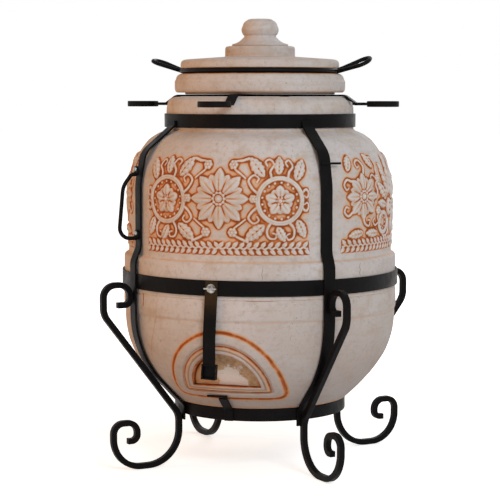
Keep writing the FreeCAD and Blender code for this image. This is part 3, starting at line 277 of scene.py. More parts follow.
class Nodes:
    """Short calls that fill a node tree. A value is a number, a colour, a vector or a socket."""

    def __init__(self, tree):
        self.tree = tree

    def fill(self, node, inputs):
        """Gives a node's inputs their values."""
        for key, source in inputs.items():
            target = node.inputs[key]
            if isinstance(source, bpy.types.NodeSocket):
                self.tree.links.new(source, target)
            else:
                target.default_value = (*source, 1) if target.type == "RGBA" else source

    def add(self, kind, output, inputs=None, **settings):
        """Makes a node and returns the output that is wanted of it."""
        node = self.tree.nodes.new("ShaderNode" + kind)
        for key, setting in settings.items():
            setattr(node, key, setting)
        self.fill(node, inputs or {})
        return node.outputs[output]

    def math(self, operation, a, b, clamp=False):
        return self.add("Math", "Value", {0: a, 1: b}, operation=operation, use_clamp=clamp)

    def fade(self, value, low, high, start=0.0, end=1.0, smooth=True):
        """Maps value from the range low..high to start..end."""
        return self.add(
            "MapRange", "Result",
            {"Value": value, "From Min": low, "From Max": high, "To Min": start, "To Max": end},
            interpolation_type="SMOOTHSTEP" if smooth else "LINEAR",
        )

    def mix(self, share, a, b):
        return self.add("Mix", "Result", {"Factor": share, "A": a, "B": b}, data_type="RGBA")

    def seen_white(self):
        """1 for rays that see the background itself, straight or by reflection."""
        straight = self.add("LightPath", "Is Camera Ray")
        rays = straight.node.outputs
        either = self.math("MAXIMUM", straight, rays["Is Glossy Ray"])
        return self.math("MAXIMUM", either, rays["Is Transmission Ray"])


class Paint(Nodes):
    """A material whose patterns lie in the coordinates of its object."""

    def __init__(self, name):
        self.material = bpy.data.materials.new(name)
        self.material.use_nodes = True
        super().__init__(self.material.node_tree)
        self.shader = self.tree.nodes["Principled BSDF"]
        self.place = self.add("TexCoord", "Object")

    def noise(self, scale, detail=3.0, rough=0.55, stretch=None):
        place = self.place
        if stretch:
            place = self.add("Mapping", "Vector", {"Scale": stretch, "Vector": place})
        return self.add("TexNoise", "Fac", {
            "Scale": scale, "Detail": detail, "Roughness": rough, "Vector": place,
        })

    def cells(self, scale):
        """Distance to the nearest of many scattered points, and that point's own random value."""
        near = self.add("TexVoronoi", "Distance", {"Scale": scale, "Vector": self.place})
        return near, self.add("SeparateColor", "Red", {"Color": near.node.outputs["Color"]})

    def attribute(self, name):
        return self.add("Attribute", "Fac", attribute_name=name)

    def bump(self, height, distance, strength, under=None):
        inputs = {"Height": height, "Distance": distance, "Strength": strength}
        if under:
            inputs["Normal"] = under
        return self.add("Bump", "Normal", inputs)

    def height(self):
        """Height above the floor in metres."""
        return self.add("SeparateXYZ", "Z", {"Vector": self.place})

    def finish(self, colour, rough, skin, specular=0.5, metallic=0.0):
        self.fill(self.shader, {
            "Base Color": colour, "Roughness": rough, "Normal": skin,
            "Specular IOR Level": specular, "Metallic": metallic,
        })
        return self.material


def rgb(red, green, blue):
    """A colour as seen on screen, 0 to 255, in Blender's linear values."""
    return tuple(
        c / 12.92 if c <= 0.04045 else ((c + 0.055) / 1.055) ** 2.4
        for c in (red / 255, green / 255, blue / 255)
    )


CREAM = rgb(197, 188, 183)
PALE = rgb(207, 203, 203)
TAN = rgb(184, 162, 141)
SMUDGE = rgb(166, 152, 138)
# Painted shade for the lower bowl.
PAINTED_FOOT_SHADE = rgb(168, 156, 150)
SPECK = rgb(120, 100, 84)
# Painted highlight on the relief's tops.
PAINTED_HIGHLIGHT = rgb(226, 217, 207)
PLUG_DARK, PLUG_TAN, PLUG_BARE = rgb(178, 146, 112), rgb(203, 176, 144), rgb(232, 226, 222)
BLUSH = rgb(208, 158, 112)
OCHRE = rgb(176, 92, 34)
RUST = rgb(116, 54, 18)
PIT_BROWN = rgb(92, 72, 58)
# Soot, and painted shade on the door moulding.
SOOT_AND_SHADE = rgb(34, 29, 26)


def clay_paint(name, worn=False):
    """Cream fired clay with pores, specks and ochre wash. Worn clay is tan where it isn't bare."""
    paint = Paint(name)
    broad = paint.noise(5.0, 3)
    cloud = paint.noise(22.0, 5, 0.6)
    mottle = paint.noise(95.0, 4, 0.65)
    grain = paint.noise(620.0, 2)
    streak = paint.noise(9.0, 4, 0.6, stretch=(1, 1, 7))
    body = paint.mix(paint.fade(broad, 0.35, 0.65), CREAM, PALE)
    body = paint.mix(paint.fade(cloud, 0.50, 0.74, 0, 0.55), body, TAN)
    body = paint.mix(paint.fade(streak, 0.52, 0.72, 0, 0.35), body, TAN)
    body = paint.mix(paint.fade(mottle, 0.32, 0.52, 0.34, 0), body, SMUDGE)
    # Painted shade: the clay is darker towards the foot, below 0.40 m.
    body = paint.mix(paint.fade(paint.height(), 0.13, 0.40, 0.55, 0), body, PAINTED_FOOT_SHADE)
    if worn:
        torn = paint.fade(cloud, 0.3, 0.7, -0.35, 0.35)
        ragged = paint.math("ADD", paint.attribute("bare"), torn)
        tanned = paint.mix(paint.fade(mottle, 0.35, 0.60), PLUG_DARK, PLUG_TAN)
        body = paint.mix(paint.fade(ragged, 0.42, 0.56), tanned, PLUG_BARE)
    body = paint.mix(paint.fade(grain, 0.40, 0.62, 0.10, 0), body, SPECK)

    near, chance = paint.cells(190.0)
    pore = paint.fade(near, 0.10, 0.22, 1, 0)
    pore = paint.math("MULTIPLY", pore, paint.fade(chance, 0.84, 0.90))
    near, chance = paint.cells(60.0)
    pock = paint.fade(near, 0.05, 0.11, 1, 0)
    pock = paint.math("MULTIPLY", pock, paint.fade(chance, 0.90, 0.93))
    holes = paint.math("MAXIMUM", pore, pock)
    body = paint.mix(paint.math("MULTIPLY", holes, 0.50), body, PIT_BROWN)

    wash = paint.attribute("stain")
    uneven = paint.fade(paint.noise(55.0, 3, 0.5), 0.28, 0.64, 0.62, 1.1)
    settled = paint.math("MULTIPLY", wash, uneven, clamp=True)
    # Painted highlight: where the stain attribute is below zero, on the relief's tops, the clay is
    # lighter.
    body = paint.mix(paint.fade(wash, -0.6, 0.0, 0.6, 0), body, PAINTED_HIGHLIGHT)
    body = paint.mix(paint.fade(settled, 0.02, 0.30, 0, 0.8), body, BLUSH)
    body = paint.mix(paint.fade(settled, 0.22, 0.72, 0, 0.94), body, OCHRE)
    body = paint.mix(paint.fade(settled, 0.60, 1.0, 0, 0.7), body, RUST)
    # Soot inside the jar, and painted shade at the door moulding's edge and groove.
    body = paint.mix(paint.attribute("soot"), body, SOOT_AND_SHADE)

    rough = paint.fade(cloud, 0.2, 0.8, 0.74, 0.9)
    ripple = paint.noise(14.0, 3, 0.5, stretch=(1, 1, 5))
    skin = paint.bump(ripple, 0.0016, 0.6)
    skin = paint.bump(mottle, 0.0005, 0.5, skin)
    skin = paint.bump(grain, 0.00022, 0.5, skin)
    skin = paint.bump(paint.math("SUBTRACT", 1, holes), 0.0009, 0.8, skin)
    return paint.finish(body, rough, skin, specular=0.25)


def iron_paint(name, base=rgb(12, 11, 13), dust=0.06, heat=None, rough=0.40):
    """Black painted iron: forge marks, thin places and clay dust. Heat is a height to brown at."""
    paint = Paint(name)
    cloud = paint.noise(30.0, 4)
    grit = paint.noise(480.0, 3, 0.6)
    colour = paint.mix(paint.fade(cloud, 0.3, 0.75, 0, 0.6), base, rgb(20, 18, 18))
    drifts = paint.fade(paint.noise(14.0, 3), 0.42, 0.7, 0, dust)
    dusty = paint.math("MULTIPLY", paint.fade(grit, 0.56, 0.72), drifts)
    colour = paint.mix(dusty, colour, rgb(150, 138, 126))
    if heat:
        browned = paint.fade(paint.height(), heat - 0.030, heat + 0.035, 0, 0.85)
        spots = paint.fade(paint.noise(60.0, 3), 0.25, 0.60, 0.45, 1.0)
        colour = paint.mix(paint.math("MULTIPLY", browned, spots), colour, rgb(60, 46, 28))
    skin = paint.bump(paint.noise(75.0, 2, 0.4), 0.0009, 0.55)
    skin = paint.bump(grit, 0.00015, 0.5, skin)
    gloss = paint.fade(cloud, 0.25, 0.75, rough - 0.08, rough + 0.14)
    return paint.finish(colour, gloss, skin, specular=0.05)


def zinc_paint(name):
    """Bright plated steel, a little dulled."""
    paint = Paint(name)
    cloud = paint.noise(160.0, 4)
    colour = paint.mix(paint.fade(cloud, 0.3, 0.7), rgb(176, 176, 174), rgb(104, 98, 90))
    skin = paint.bump(paint.noise(400.0, 2), 0.0003, 0.7)
    return paint.finish(colour, paint.fade(cloud, 0.2, 0.8, 0.22, 0.45), skin, metallic=1.0)


def cast_paint(name):
    """Raw cast iron with a brown bloom."""
    paint = Paint(name)
    cloud = paint.noise(55.0, 5)
    colour = paint.mix(paint.fade(cloud, 0.42, 0.7, 0, 0.7), rgb(48, 45, 43), rgb(96, 66, 46))
    skin = paint.bump(paint.noise(420.0, 3), 0.0006, 0.7)
    return paint.finish(colour, 0.72, skin, specular=0.3)


def sooty_clay_paint(name):
    """Clay inside the fire box."""
    paint = Paint(name)
    smoke = paint.fade(paint.noise(16.0, 5), 0.25, 0.7)
    colour = paint.mix(smoke, rgb(72, 60, 51), SOOT_AND_SHADE)
    skin = paint.bump(paint.noise(240.0, 4), 0.0008, 0.7)
    return paint.finish(colour, 0.95, skin, specular=0.1)


clay = clay_paint("clay")
plug_clay = clay_paint("plug_clay", worn=True)
fire_clay = sooty_clay_paint("fire_clay")
black_iron = iron_paint("black_iron")
latch_iron = iron_paint("latch_iron", heat=0.35)
hanger_steel = iron_paint("hanger_steel", base=rgb(14, 13, 14), dust=0.04, rough=0.5)
zinc = zinc_paint("zinc")
cast_iron = cast_paint("cast_iron")


# Turned clay ------------------------------------------------------------------------------------

OUTER_SKIN = 12.0
HIDDEN_EDGE = 6.0


def inside_soot(face):
    """Soot on the inner faces, thinner near the mouth."""
    def soot(radius, height):
        if radius > np.interp(height, *face) - OUTER_SKIN:
            return 0.0
        return float(np.interp(height, (600, 700, 755, 763), (0.92, 0.8, 0.35, 0.0)))
    return soot


def outside_door(x, y, z):
    """False over the door's hole, whose ragged edge the inner moulding hides."""
    reach = DOOR_RADIUS + HIDDEN_EDGE
    over = z > DOOR_SILL and hypot(x, z - DOOR_SILL) < reach
    return not (y < 0 and (over or (abs(x) < reach and DOOR_SILL - 4 < z <= DOOR_SILL)))


def turned_clay():
    """The four big clay pieces. Wash has settled in their creases."""
    piece = lathe(
        "jar_belly", JAR_UPPER, "jar", clay, 5.0, 320,
        [(441, 2.2, 0.22), (696, 3.0, 0.16), (650, 5, 0.04)],
        soot=inside_soot(JAR_FACE),
    )
    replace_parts(piece, "body_upper")
    piece = lathe(
        "jar_bowl", JAR_LOWER, "jar", clay, 5.0, 320,
        [(366, 1.6, 0.10), (323, 2.6, 0.15), (135, 5, 0.25)],
        soot=inside_soot(BOWL_FACE), keep=outside_door,
    )
    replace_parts(piece, "body_lower")
    piece = lathe(
        "lid_plate", LID_MAIN, "lid", clay, 3.0, 256,
        [(813, 2.0, 0.7), (824, 1.6, 0.30), (848.5, 1.6, 0.14), (775, 2.5, 0.2)], dents=0.6,
    )
    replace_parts(piece, "main_lid")
    piece = lathe(
        "vent_lid", LID_SMALL, "vent_cap", clay, 2.0, 160,
        [(887, 1.8, 0.12), (893, 2.5, 0.10), (872, 2.0, 0.14)], dents=0.4,
    )
    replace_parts(piece, "small_lid")


# Relief panels ----------------------------------------------------------------------------------

PANEL_MIDDLE = 566.0
PANEL_HALF_WIDTH = 184.0
PANEL_BELOW = 115.0
PANEL_ABOVE = 90.0
PITCH = 1.2
TENDRIL_WIDTH, TENDRIL_RISE = 5.4, 3.0
GARLAND_STEPS, GARLAND_PITCH, GARLAND_HEIGHT = 13, 14.0, -98

# One half of each ornament, as in the solids, across and up from its middle.
# Rosettes: across, up, middle's radius, petals, petal's length, petal's width.
# Scrolls and berries: across, up, radius. Leaves: across, up, heading in degrees, length, width.
VINE = {
    "rosettes": ((0, 0, 15, 8, 48, 22), (122, -4, 9, 5, 24, 18)),
    "scrolls": ((122, -4, 44),),
    "berries": ((69, 0, 8), (28, 66, 9), (28, -66, 9)),
    "leaves": (
        (92, 42, 128, 48, 24), (120, 46, 84, 36, 20), (154, 34, 66, 46, 22),
        (92, -50, -140, 50, 24), (116, -54, -62, 34, 18), (156, -40, -66, 40, 20),
    ),
}
PALMETTE = {
    "rosettes": ((118, 0, 14, 8, 36, 19),),
    "scrolls": ((40, -56, 20),),
    "berries": ((0, -26, 19), (64, 34, 8), (64, -30, 8)),
    "leaves": (
        (0, -2, 90, 82, 20), (10, -4, 65, 76, 20), (18, -11, 38, 62, 20), (22, -22, 11, 42, 18),
        (72, 56, 50, 36, 18), (160, 50, 112, 34, 18), (66, -76, 2, 44, 18), (118, -72, -8, 44, 18),
    ),
}
VINE_TENDRILS = (
    ((60, 78), (46, 74), (34, 72), (30, 60), (44, 48), (54, 40)),
    ((58, -84), (44, -78), (34, -72), (30, -60), (44, -48), (54, -40)),
    ((78, 10), (66, 22), (60, 36), (70, 46), (80, 40), (76, 32)),
    ((78, -16), (66, -26), (60, -38), (70, -48), (80, -42), (76, -34)),
    ((106, 38), (104, 54), (112, 66), (104, 76), (94, 72), (98, 64)),
    ((138, 36), (142, 52), (150, 62), (144, 74), (136, 70), (140, 62)),
    ((104, -46), (96, -62), (100, -76), (112, -78), (114, -70), (107, -67)),
    ((140, -46), (150, -60), (148, -76), (138, -80), (135, -72), (142, -68)),
    ((164, 8), (174, 18), (180, 10), (176, 2), (170, 6)),
    ((164, -16), (174, -24), (180, -16), (177, -8), (170, -12)),
)
PALMETTE_TENDRILS = (
    ((40, -36), (54, -34), (66, -42), (64, -54), (76, -60), (84, -52), (78, -46)),
    ((54, 22), (62, 46), (58, 62), (66, 76), (78, 74), (76, 64), (70, 66)),
    ((72, -4), (66, 8), (72, 20), (68, 32), (80, 42), (88, 36), (84, 29)),
    ((112, 46), (108, 60), (118, 72), (130, 68), (128, 58), (121, 60)),
    ((150, 30), (164, 34), (172, 24), (166, 14), (160, 18)),
    ((150, -30), (162, -38), (172, -30), (168, -20), (161, -22)),
    ((118, -46), (112, -56), (100, -60), (96, -50), (103, -48)),
    ((12, -52), (8, -66), (16, -80), (28, -84), (44, -82)),
)


def blur(field, passes):
    """Softens a field of heights a little with each pass."""
    for _ in range(passes):
        for axis in (0, 1):
            field = (np.roll(field, 1, axis) + 2 * field + np.roll(field, -1, axis)) / 4
    return field


def course(points, spacing=0.8):
    """A smooth curve through the points, which are (across, up), resampled evenly."""
    spots = np.array(points, float)
    padded = np.vstack([2 * spots[0] - spots[1], spots, 2 * spots[-1] - spots[-2]])
    line = []
    for i in range(len(spots) - 1):
        a, b, c, d = padded[i:i + 4]
        for t in np.linspace(0, 1, 24, endpoint=False):
            line.append(0.5 * (
                2 * b + (c - a) * t + (2 * a - 5 * b + 4 * c - d) * t ** 2
                + (3 * b - a - 3 * c + d) * t ** 3
            ))
    line = np.array(line + [spots[-1]])
    along = np.concatenate([[0], np.cumsum(np.hypot(*np.diff(line, axis=0).T))])
    even = np.arange(0, along[-1], spacing)
    return np.column_stack([np.interp(even, along, line[:, k]) for k in (0, 1)])


def lens(along, length, width):
    """Half the width of a leaf of two arcs, at shares of its length."""
    arc = (length ** 2 + width ** 2) / (4 * width)
    inside = np.clip(along, 0, 1)
    return np.sqrt(np.clip(arc ** 2 - ((inside - 0.5) * length) ** 2, 0, None)) - arc + width / 2


class Ornament:
    """A field of relief heights over a panel. What is drawn on it is mirrored at the end."""

    def __init__(self):
        self.across = np.arange(-PANEL_HALF_WIDTH, PANEL_HALF_WIDTH + PITCH / 2, PITCH)
        self.up = np.arange(-PANEL_BELOW, PANEL_ABOVE + PITCH / 2, PITCH)
        self.high = np.zeros((len(self.up), len(self.across)))

    def near(self, u, v, reach):
        """The part of the field around a place, with its coordinates from there."""
        columns = slice(*np.searchsorted(self.across, (u - reach, u + reach)))
        rows = slice(*np.searchsorted(self.up, (v - reach, v + reach)))
        du, dv = np.meshgrid(self.across[columns] - u, self.up[rows] - v)
        return (rows, columns), du, dv

    def raise_to(self, where, lift):
        self.high[where] = np.maximum(self.high[where], lift)

    def dome(self, u, v, radius, tall, fullness=0.5):
        where, du, dv = self.near(u, v, radius)
        share = np.clip(1 - (du ** 2 + dv ** 2) / radius ** 2, 0, 1)
        self.raise_to(where, tall * share ** fullness)

    def beads(self, u, v, reach, count, size, tall):
        """A circle of small domes round a place."""
        for number in range(count):
            angle = 2 * pi * number / count
            self.dome(u + reach * cos(angle), v + reach * sin(angle), size, tall)

    def ring(self, u, v, radius, width, depth):
        """A groove, or with less than no depth a bead, round a place."""
        where, du, dv = self.near(u, v, radius + 3 * width)
        self.high[where] -= depth * np.exp(-((np.hypot(du, dv) - radius) / width) ** 2)

    def stem(self, points, wide=5.0, tall=2.8, tip=0.45):
        """A round stem that thins towards its tip."""
        line = course(points)
        for (u, v), share in zip(line, np.linspace(0, 1, len(line))):
            self.dome(u, v, wide / 2 * (1 - (1 - tip) * share), tall * (1 - 0.3 * share), 0.4)

    def leaf(self, u, v, heading, length, width, tall=5.2, lobes=5, veins=1.3):
        """A leaf with a midrib and side veins. Heading is in degrees from the right."""
        where, du, dv = self.near(u, v, length + 2)
        angle = radians(heading)
        along = (du * cos(angle) + dv * sin(angle)) / length
        off = -du * sin(angle) + dv * cos(angle)
        inside = np.clip(along, 0, 1)
        edge = lens(inside, length, width * 1.06)
        if lobes:
            edge = edge * (0.80 + 0.20 * np.abs(np.cos(pi * (lobes * inside + 0.15))))
        side = np.abs(off) / np.maximum(edge, 0.01)
        body = np.clip(1 - side ** 2.6, 0, 1) ** 0.5
        lift = tall * (0.62 + 0.38 * np.sin(pi * inside)) * body
        rib = np.exp(-(off / 1.5) ** 2) * np.clip(1.15 - inside, 0, 1)
        comb = np.cos(2 * pi * (inside * length - np.abs(off) * 0.9) / (length / max(lobes, 3)))
        lift = lift - (2.2 * rib + veins * np.clip(comb, 0, 1) ** 3) * (body > 0)
        self.raise_to(where, np.where((along > 0) & (along < 1), np.clip(lift, 0, None), 0))

    def rosette(self, u, v, middle, count, length, width):
        """Two layers of petals round a beaded middle."""
        for layer, reach, tall in ((0.5, 0.80, 3.0), (0.0, 1.0, 5.2)):
            for number in range(count):
                heading = 90 + (number + layer) * 360 / count
                angle = radians(heading)
                self.leaf(
                    u + (middle - 3) * cos(angle), v + (middle - 3) * sin(angle), heading,
                    length * reach, width, tall, 0, 0.0,
                )
        where, du, dv = self.near(u, v, middle)
        self.high[where] = np.where(np.hypot(du, dv) < middle, 0.6, self.high[where])
        self.dome(u, v, middle - 1.5, 4.6, 0.35)
        self.ring(u, v, middle * 0.55, 1.1, 2.4)
        self.beads(u, v, middle * 0.78, 6 if middle < 12 else 10, middle * 0.2, 5.8)
        self.dome(u, v, middle * 0.42, 6.4)

    def berries(self, u, v, radius):
        """A round bunch of small domes."""
        self.dome(u, v, radius, 2.4, 0.3)
        self.dome(u, v, radius * 0.42, 5.6)
        count, size = (6, 0.36) if radius < 12 else (11, 0.22)
        self.beads(u, v, radius * 0.68, count, radius * size, 4.8)

    def draw(self, table):
        """The main forms that the solids share, with their carved detail."""
        for u, v, radius in table["scrolls"]:
            turn = np.linspace(0, 2 * pi, 60)
            points = [(u + radius * cos(a), v + radius * sin(a)) for a in turn]
            self.stem(points, 9.0, 4.6, 1.0)
            self.ring(u, v, radius, 0.9, 1.7)
            self.beads(u, v, radius - 8, round(radius / 2.6), 2.3, 2.2)
        for rosette in table["rosettes"]:
            self.rosette(*rosette)
        for leaf in table["leaves"]:
            self.leaf(*leaf)
        for bunch in table["berries"]:
            self.berries(*bunch)

    def ground(self):
        """A low garland under the ornament."""
        low, high = GARLAND_HEIGHT, GARLAND_HEIGHT + 2.5
        for step in range(GARLAND_STEPS):
            u = step * GARLAND_PITCH - 4
            self.stem([(u, low), (u + 5, high), (u + 10, low), (u + 14, low)], 3.6, 2.0, 1.0)
            self.leaf(u + 4, low + 2, 48, 15, 7.5, 3.0, 0, 0.0)
            self.leaf(u + 8, low - 1, -44, 15, 7.5, 3.0, 0, 0.0)

    def finished(self):
        """Mirrored heights, and where the wash has settled less a painted highlight on the forms'
        tops.
        """
        high = np.clip(np.maximum(self.high, self.high[:, ::-1]), 0, None)
        high = blur(high, 1)
        solid = np.clip(high / 0.9, 0, 1)
        beside = np.clip(1.9 * blur(solid, 14) - 0.12, 0, 1) * (1 - solid)
        halo = np.clip(2.2 * blur(solid, 60), 0, 1) * (1 - solid)
        groove = np.clip((blur(high, 4) - high) / 0.7, 0, 1)
        hollow = np.clip((blur(high, 18) - high) / 2.6, 0, 1)
        wash = np.clip(0.85 * beside + 0.30 * halo + 0.85 * groove + 0.50 * hollow, 0, 1)
        # Painted highlight on the forms' tops, given to the stain attribute as wash below zero.
        painted_highlight = np.clip((high - blur(high, 10)) / 1.2, 0, 1) * np.clip(1 - 4 * wash, 0, 1)
        return high, wash - 0.6 * painted_highlight


def ornament(table, tendrils):
    """Heights, and wash less a painted highlight on the tops, of one panel: tendrils, main forms
    over them, and a garland.
    """
    field = Ornament()
    for points in tendrils:
        field.stem(points, TENDRIL_WIDTH, TENDRIL_RISE)
    field.draw(table)
    field.ground()
    return field.finished()


def relief_panel(name, degrees, high, wash):
    """Lays the relief on the jar between two straps. Its edges sink into the wall."""
    rows, columns = high.shape
    up = PANEL_MIDDLE - PANEL_BELOW + np.arange(rows) * PITCH
    radii = np.interp(up, *JAR_FACE)
    slopes = np.gradient(radii, up)
    edge = np.minimum.outer(
        np.minimum(np.arange(rows), np.arange(rows)[::-1]),
        np.minimum(np.arange(columns), np.arange(columns)[::-1]),
    )
    stand = 0.15 - 0.9 * np.clip(1 - edge / 5, 0, 1) ** 2
    vertices = []
    for i in range(rows):
        lean = hypot(1, slopes[i])
        for j in range(columns):
            angle = radians(degrees) + (j - (columns - 1) / 2) * PITCH / JAR_RADIUS
            x, y = radii[i] * cos(angle), radii[i] * sin(angle)
            lift = high[i, j] + stand[i, j] - hand_worked(x, y, up[i])
            out = 1 + lift / lean / radii[i]
            vertices.append((x * out, y * out, up[i] - lift * slopes[i] / lean))
    # The stain attribute holds the wash and, below zero, the painted highlight.
    piece = build(
        name, vertices, grid_faces(rows, columns), "jar", "clay", clay,
        stain=wash.ravel(), soot=np.zeros(high.size),
    )
    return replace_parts(piece, name.replace("_panel", ""))


def relief_panels():
    vine, palmette = ornament(VINE, VINE_TENDRILS), ornament(PALMETTE, PALMETTE_TENDRILS)
    for side, degrees in SIDES.items():
        drawn = vine if side in ("front", "back") else palmette
        relief_panel(f"relief_{side}_panel", degrees, *drawn)


# Ash door ---------------------------------------------------------------------------------------

FOOT_POINTS, SIDE_POINTS, ARC_POINTS = 24, 6, 48
MOULDING_DEPTH = 3.0
# The plug's face leans back: distances from the axis at its foot, its crown and its hidden end
PLUG_FOOT, PLUG_CROWN, PLUG_BACK = 220.6, 256.2, 174.8
PLUG_ROUNDING = 4.0
TUNNEL_SHARES = (0, 0.03, 0.07, 0.11, 0.16, 0.22, 0.3, 0.45, 0.6, 0.8, 1.0)


def arch_line(radius, drop, sill=DOOR_SILL, softness=2):
    """Half-round outline over a sill, from the middle of its foot round to there again."""
    foot = sill - drop
    half = [(radius * k / FOOT_POINTS, foot) for k in range(FOOT_POINTS)]
    half += [(radius, foot + drop * k / SIDE_POINTS) for k in range(SIDE_POINTS if drop else 1)]
    for k in range(ARC_POINTS + 1):
        angle = pi / 2 * k / ARC_POINTS
        half.append((radius * cos(angle), sill + radius * sin(angle)))
    other = [(-x, z) for x, z in half[1:-1]]
    line = np.array(half + other[::-1])
    if drop:
        for _ in range(softness):
            line = (np.roll(line, 1, 0) + 2 * line + np.roll(line, -1, 0)) / 4
    return line


def on_bowl(x, z, lift):
    """The place in front of the door that stands out from the bowl by lift."""
    radius = np.interp(z, *BOWL_FACE)
    y = -sqrt(radius ** 2 - x ** 2)
    reach = radius + lift - hand_worked(x, y, z)
    return x, -sqrt(reach ** 2 - x ** 2), z


def moulding(name, node, inner, outer, skirt, edges, split=False):
    """A rounded clay moulding between two outlines. The skirt lies on the bowl and takes wash.

    A split one has a groove along its middle, and painted shade in that groove, along its outer
    edge and on its skirt.
    """
    ahead = np.roll(outer, -1, 0) - np.roll(outer, 1, 0)
    outward = np.column_stack([ahead[:, 1], -ahead[:, 0]])
    outward /= np.hypot(*outward.T)[:, None]
    columns = []
    for share in (1 - np.cos(np.linspace(0, pi, 21))) / 2:
        crown = (1 - abs(2 * share - 1) ** 4.5) ** 0.5
        sunk = MOULDING_DEPTH if share < 0.5 else 0.0
        lift = (FRAME_RISE + sunk) * crown - sunk
        stain = edges[0] * np.exp(-(share / 0.10) ** 2)
        stain += edges[1] * np.exp(-((1 - share) / 0.14) ** 2)
        # Painted shade along the outer edge of a split moulding.
        dark = 0.45 * np.exp(-((1 - share) / 0.05) ** 2) if split else 0.0
        if split:
            groove = np.exp(-((share - 0.52) / 0.09) ** 2)
            lift -= 2.0 * groove
            stain += 0.30 * groove + 0.14 * (share > 0.6)
            # Painted shade in the groove.
            dark += 0.40 * groove
        columns.append((inner + (outer - inner) * share, lift, stain, dark))
    for reach in (0.6, 1.5, 3.0, 5.0, 7.0, 8.0):
        if reach <= skirt:
            lift = 0.14 if reach < skirt - 0.5 else -0.6
            stain = edges[1] * 1.1 * np.exp(-(reach / 4.6) ** 2)
            # Painted shade on a split moulding's skirt.
            dark = 0.45 * np.exp(-(reach / 1.5) ** 2) if split else 0.0
            columns.append((outer + outward * reach, lift, stain, dark))
    vertices, wash, black = [], [], []
    for line, lift, stain, dark in columns:
        vertices += [on_bowl(x, z, lift) for x, z in line]
        wash += [stain] * len(line)
        black += [dark] * len(line)
    faces = grid_faces(len(columns), len(outer), wrap_columns=True)
    piece = build(name, vertices, faces, "jar", "clay", clay, stain=wash, soot=black)
    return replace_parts(piece, node)


def matched(line, like):
    """The outline of an opening without side runs, given as many points as another."""
    extra = (len(like) - len(line)) // 2
    corners = FOOT_POINTS, len(line) - FOOT_POINTS
    right, left = (np.repeat(line[at:at + 1], extra, axis=0) for at in corners)
    foot_right, arch, foot_left = np.split(line, corners)
    return np.vstack([foot_right, right, arch, left, foot_left])


def door_tunnel(opening):
    """The wall of the opening, from the bowl's face to the ash pit."""
    vertices, wash, black = [], [], []
    for share in TUNNEL_SHARES:
        for x, z in opening:
            front = on_bowl(x, z, -2.0)[1]
            back = -sqrt(PIT_RADIUS ** 2 - x ** 2) - 0.5
            vertices.append((x, front + (back - front) * share, z))
            wash.append(np.interp(share, (0, 0.04, 0.14, 0.3), (0.35, 0.8, 1.0, 0.5)))
            black.append(np.interp(share, (0.16, 0.4), (0.0, 0.85)))
    faces = grid_faces(len(TUNNEL_SHARES), len(opening), wrap_columns=True)
    build("door_tunnel", vertices, faces, "jar", "clay", clay, stain=wash, soot=black)


def door_plug():
    """The plug: a rough face with a bare patch and a dark chip, a rounded edge and its sides."""
    middle = np.array([0, DOOR_SILL + 27])
    edge = arch_line(DOOR_RADIUS - 0.6, 0, DOOR_SILL + 0.3)
    rows = list(np.linspace(0.06, 0.9, 13)) + [0.93, 0.95, 0.97, 0.985, 0.995, 1.0]
    vertices, wash, black, bare = [], [], [], []

    def add(x, y, z, stain, dark, worn):
        vertices.append((x, y, z))
        wash.append(stain)
        black.append(dark)
        bare.append(worn)

    def plane(z):
        return PLUG_FOOT + (PLUG_CROWN - PLUG_FOOT) * (z - DOOR_SILL) / DOOR_RADIUS

    for share in rows:
        turned = min(1.0, max(0.0, (share - 0.93) / 0.07))
        rounded = PLUG_ROUNDING * (1 - sqrt(1 - turned ** 2))
        for x, z in middle + (edge - middle) * share:
            rough = 0.5 + 0.5 * noise.noise(Vector((x / 19, z / 19, 7)))
            rim = 0.95 * np.exp(-((1 - share) / 0.05) ** 2) + 0.3 * np.clip(-x / 45, 0, 1)
            chip = 0.8 * np.exp(-((x + 33) / 3) ** 2 - ((z - DOOR_SILL - 23) / 3) ** 2)
            patch = 1.3 - hypot((x - 12) / 42, (z - DOOR_SILL - 4) / 46)
            add(x, -(plane(z) - rounded - rough), z, rim, chip, patch)
    for back in (0.25, 0.6, 1.0):
        for x, z in edge:
            front = plane(z) - PLUG_ROUNDING
            add(x, -(front + (PLUG_BACK - front) * back), z, 0.6 * (1 - back), 0.9 * back, 0)
    count, last = len(edge), len(rows) + 2
    faces = grid_faces(last + 1, count, wrap_columns=True)
    for row, dark, worn in ((0, 0, 0.8), (last, 0.9, 0)):
        add(middle[0], vertices[row * count][1], middle[1], 0, dark, worn)
        centre = len(vertices) - 1
        start = row * count
        faces += [(start + j, start + (j + 1) % count, centre) for j in range(count)]
    piece = build("ash_door_plug", vertices, faces, "door", "plug_clay", plug_clay,
                  stain=wash, soot=black, bare=bare)
    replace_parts(piece, "ash_plug")


def ash_door():
    """Two mouldings, the tunnel behind them and the plug."""
    opening, inner_edge = arch_line(DOOR_RADIUS, 0), arch_line(88, 11)
    groove_edge, outer_edge = arch_line(91, 14, softness=8), arch_line(116, 26, softness=24)
    moulding("door_moulding_inner", "door_frame_inner", matched(opening, inner_edge),
             inner_edge, 3.0, (0.75, 0.60), split=True)
    moulding("door_moulding_outer", "door_frame_outer", groove_edge, outer_edge, 8.0, (0.45, 0.85))
    door_tunnel(opening)
    door_plug()


# Age --------------------------------------------------------------------------------------------

# Across in half widths, stand off the clay, strength of the colour
CRACK_SECTION = ((-1, -0.3, 0), (-0.4, 0.1, 1), (0.4, 0.1, 1), (1, -0.3, 0))
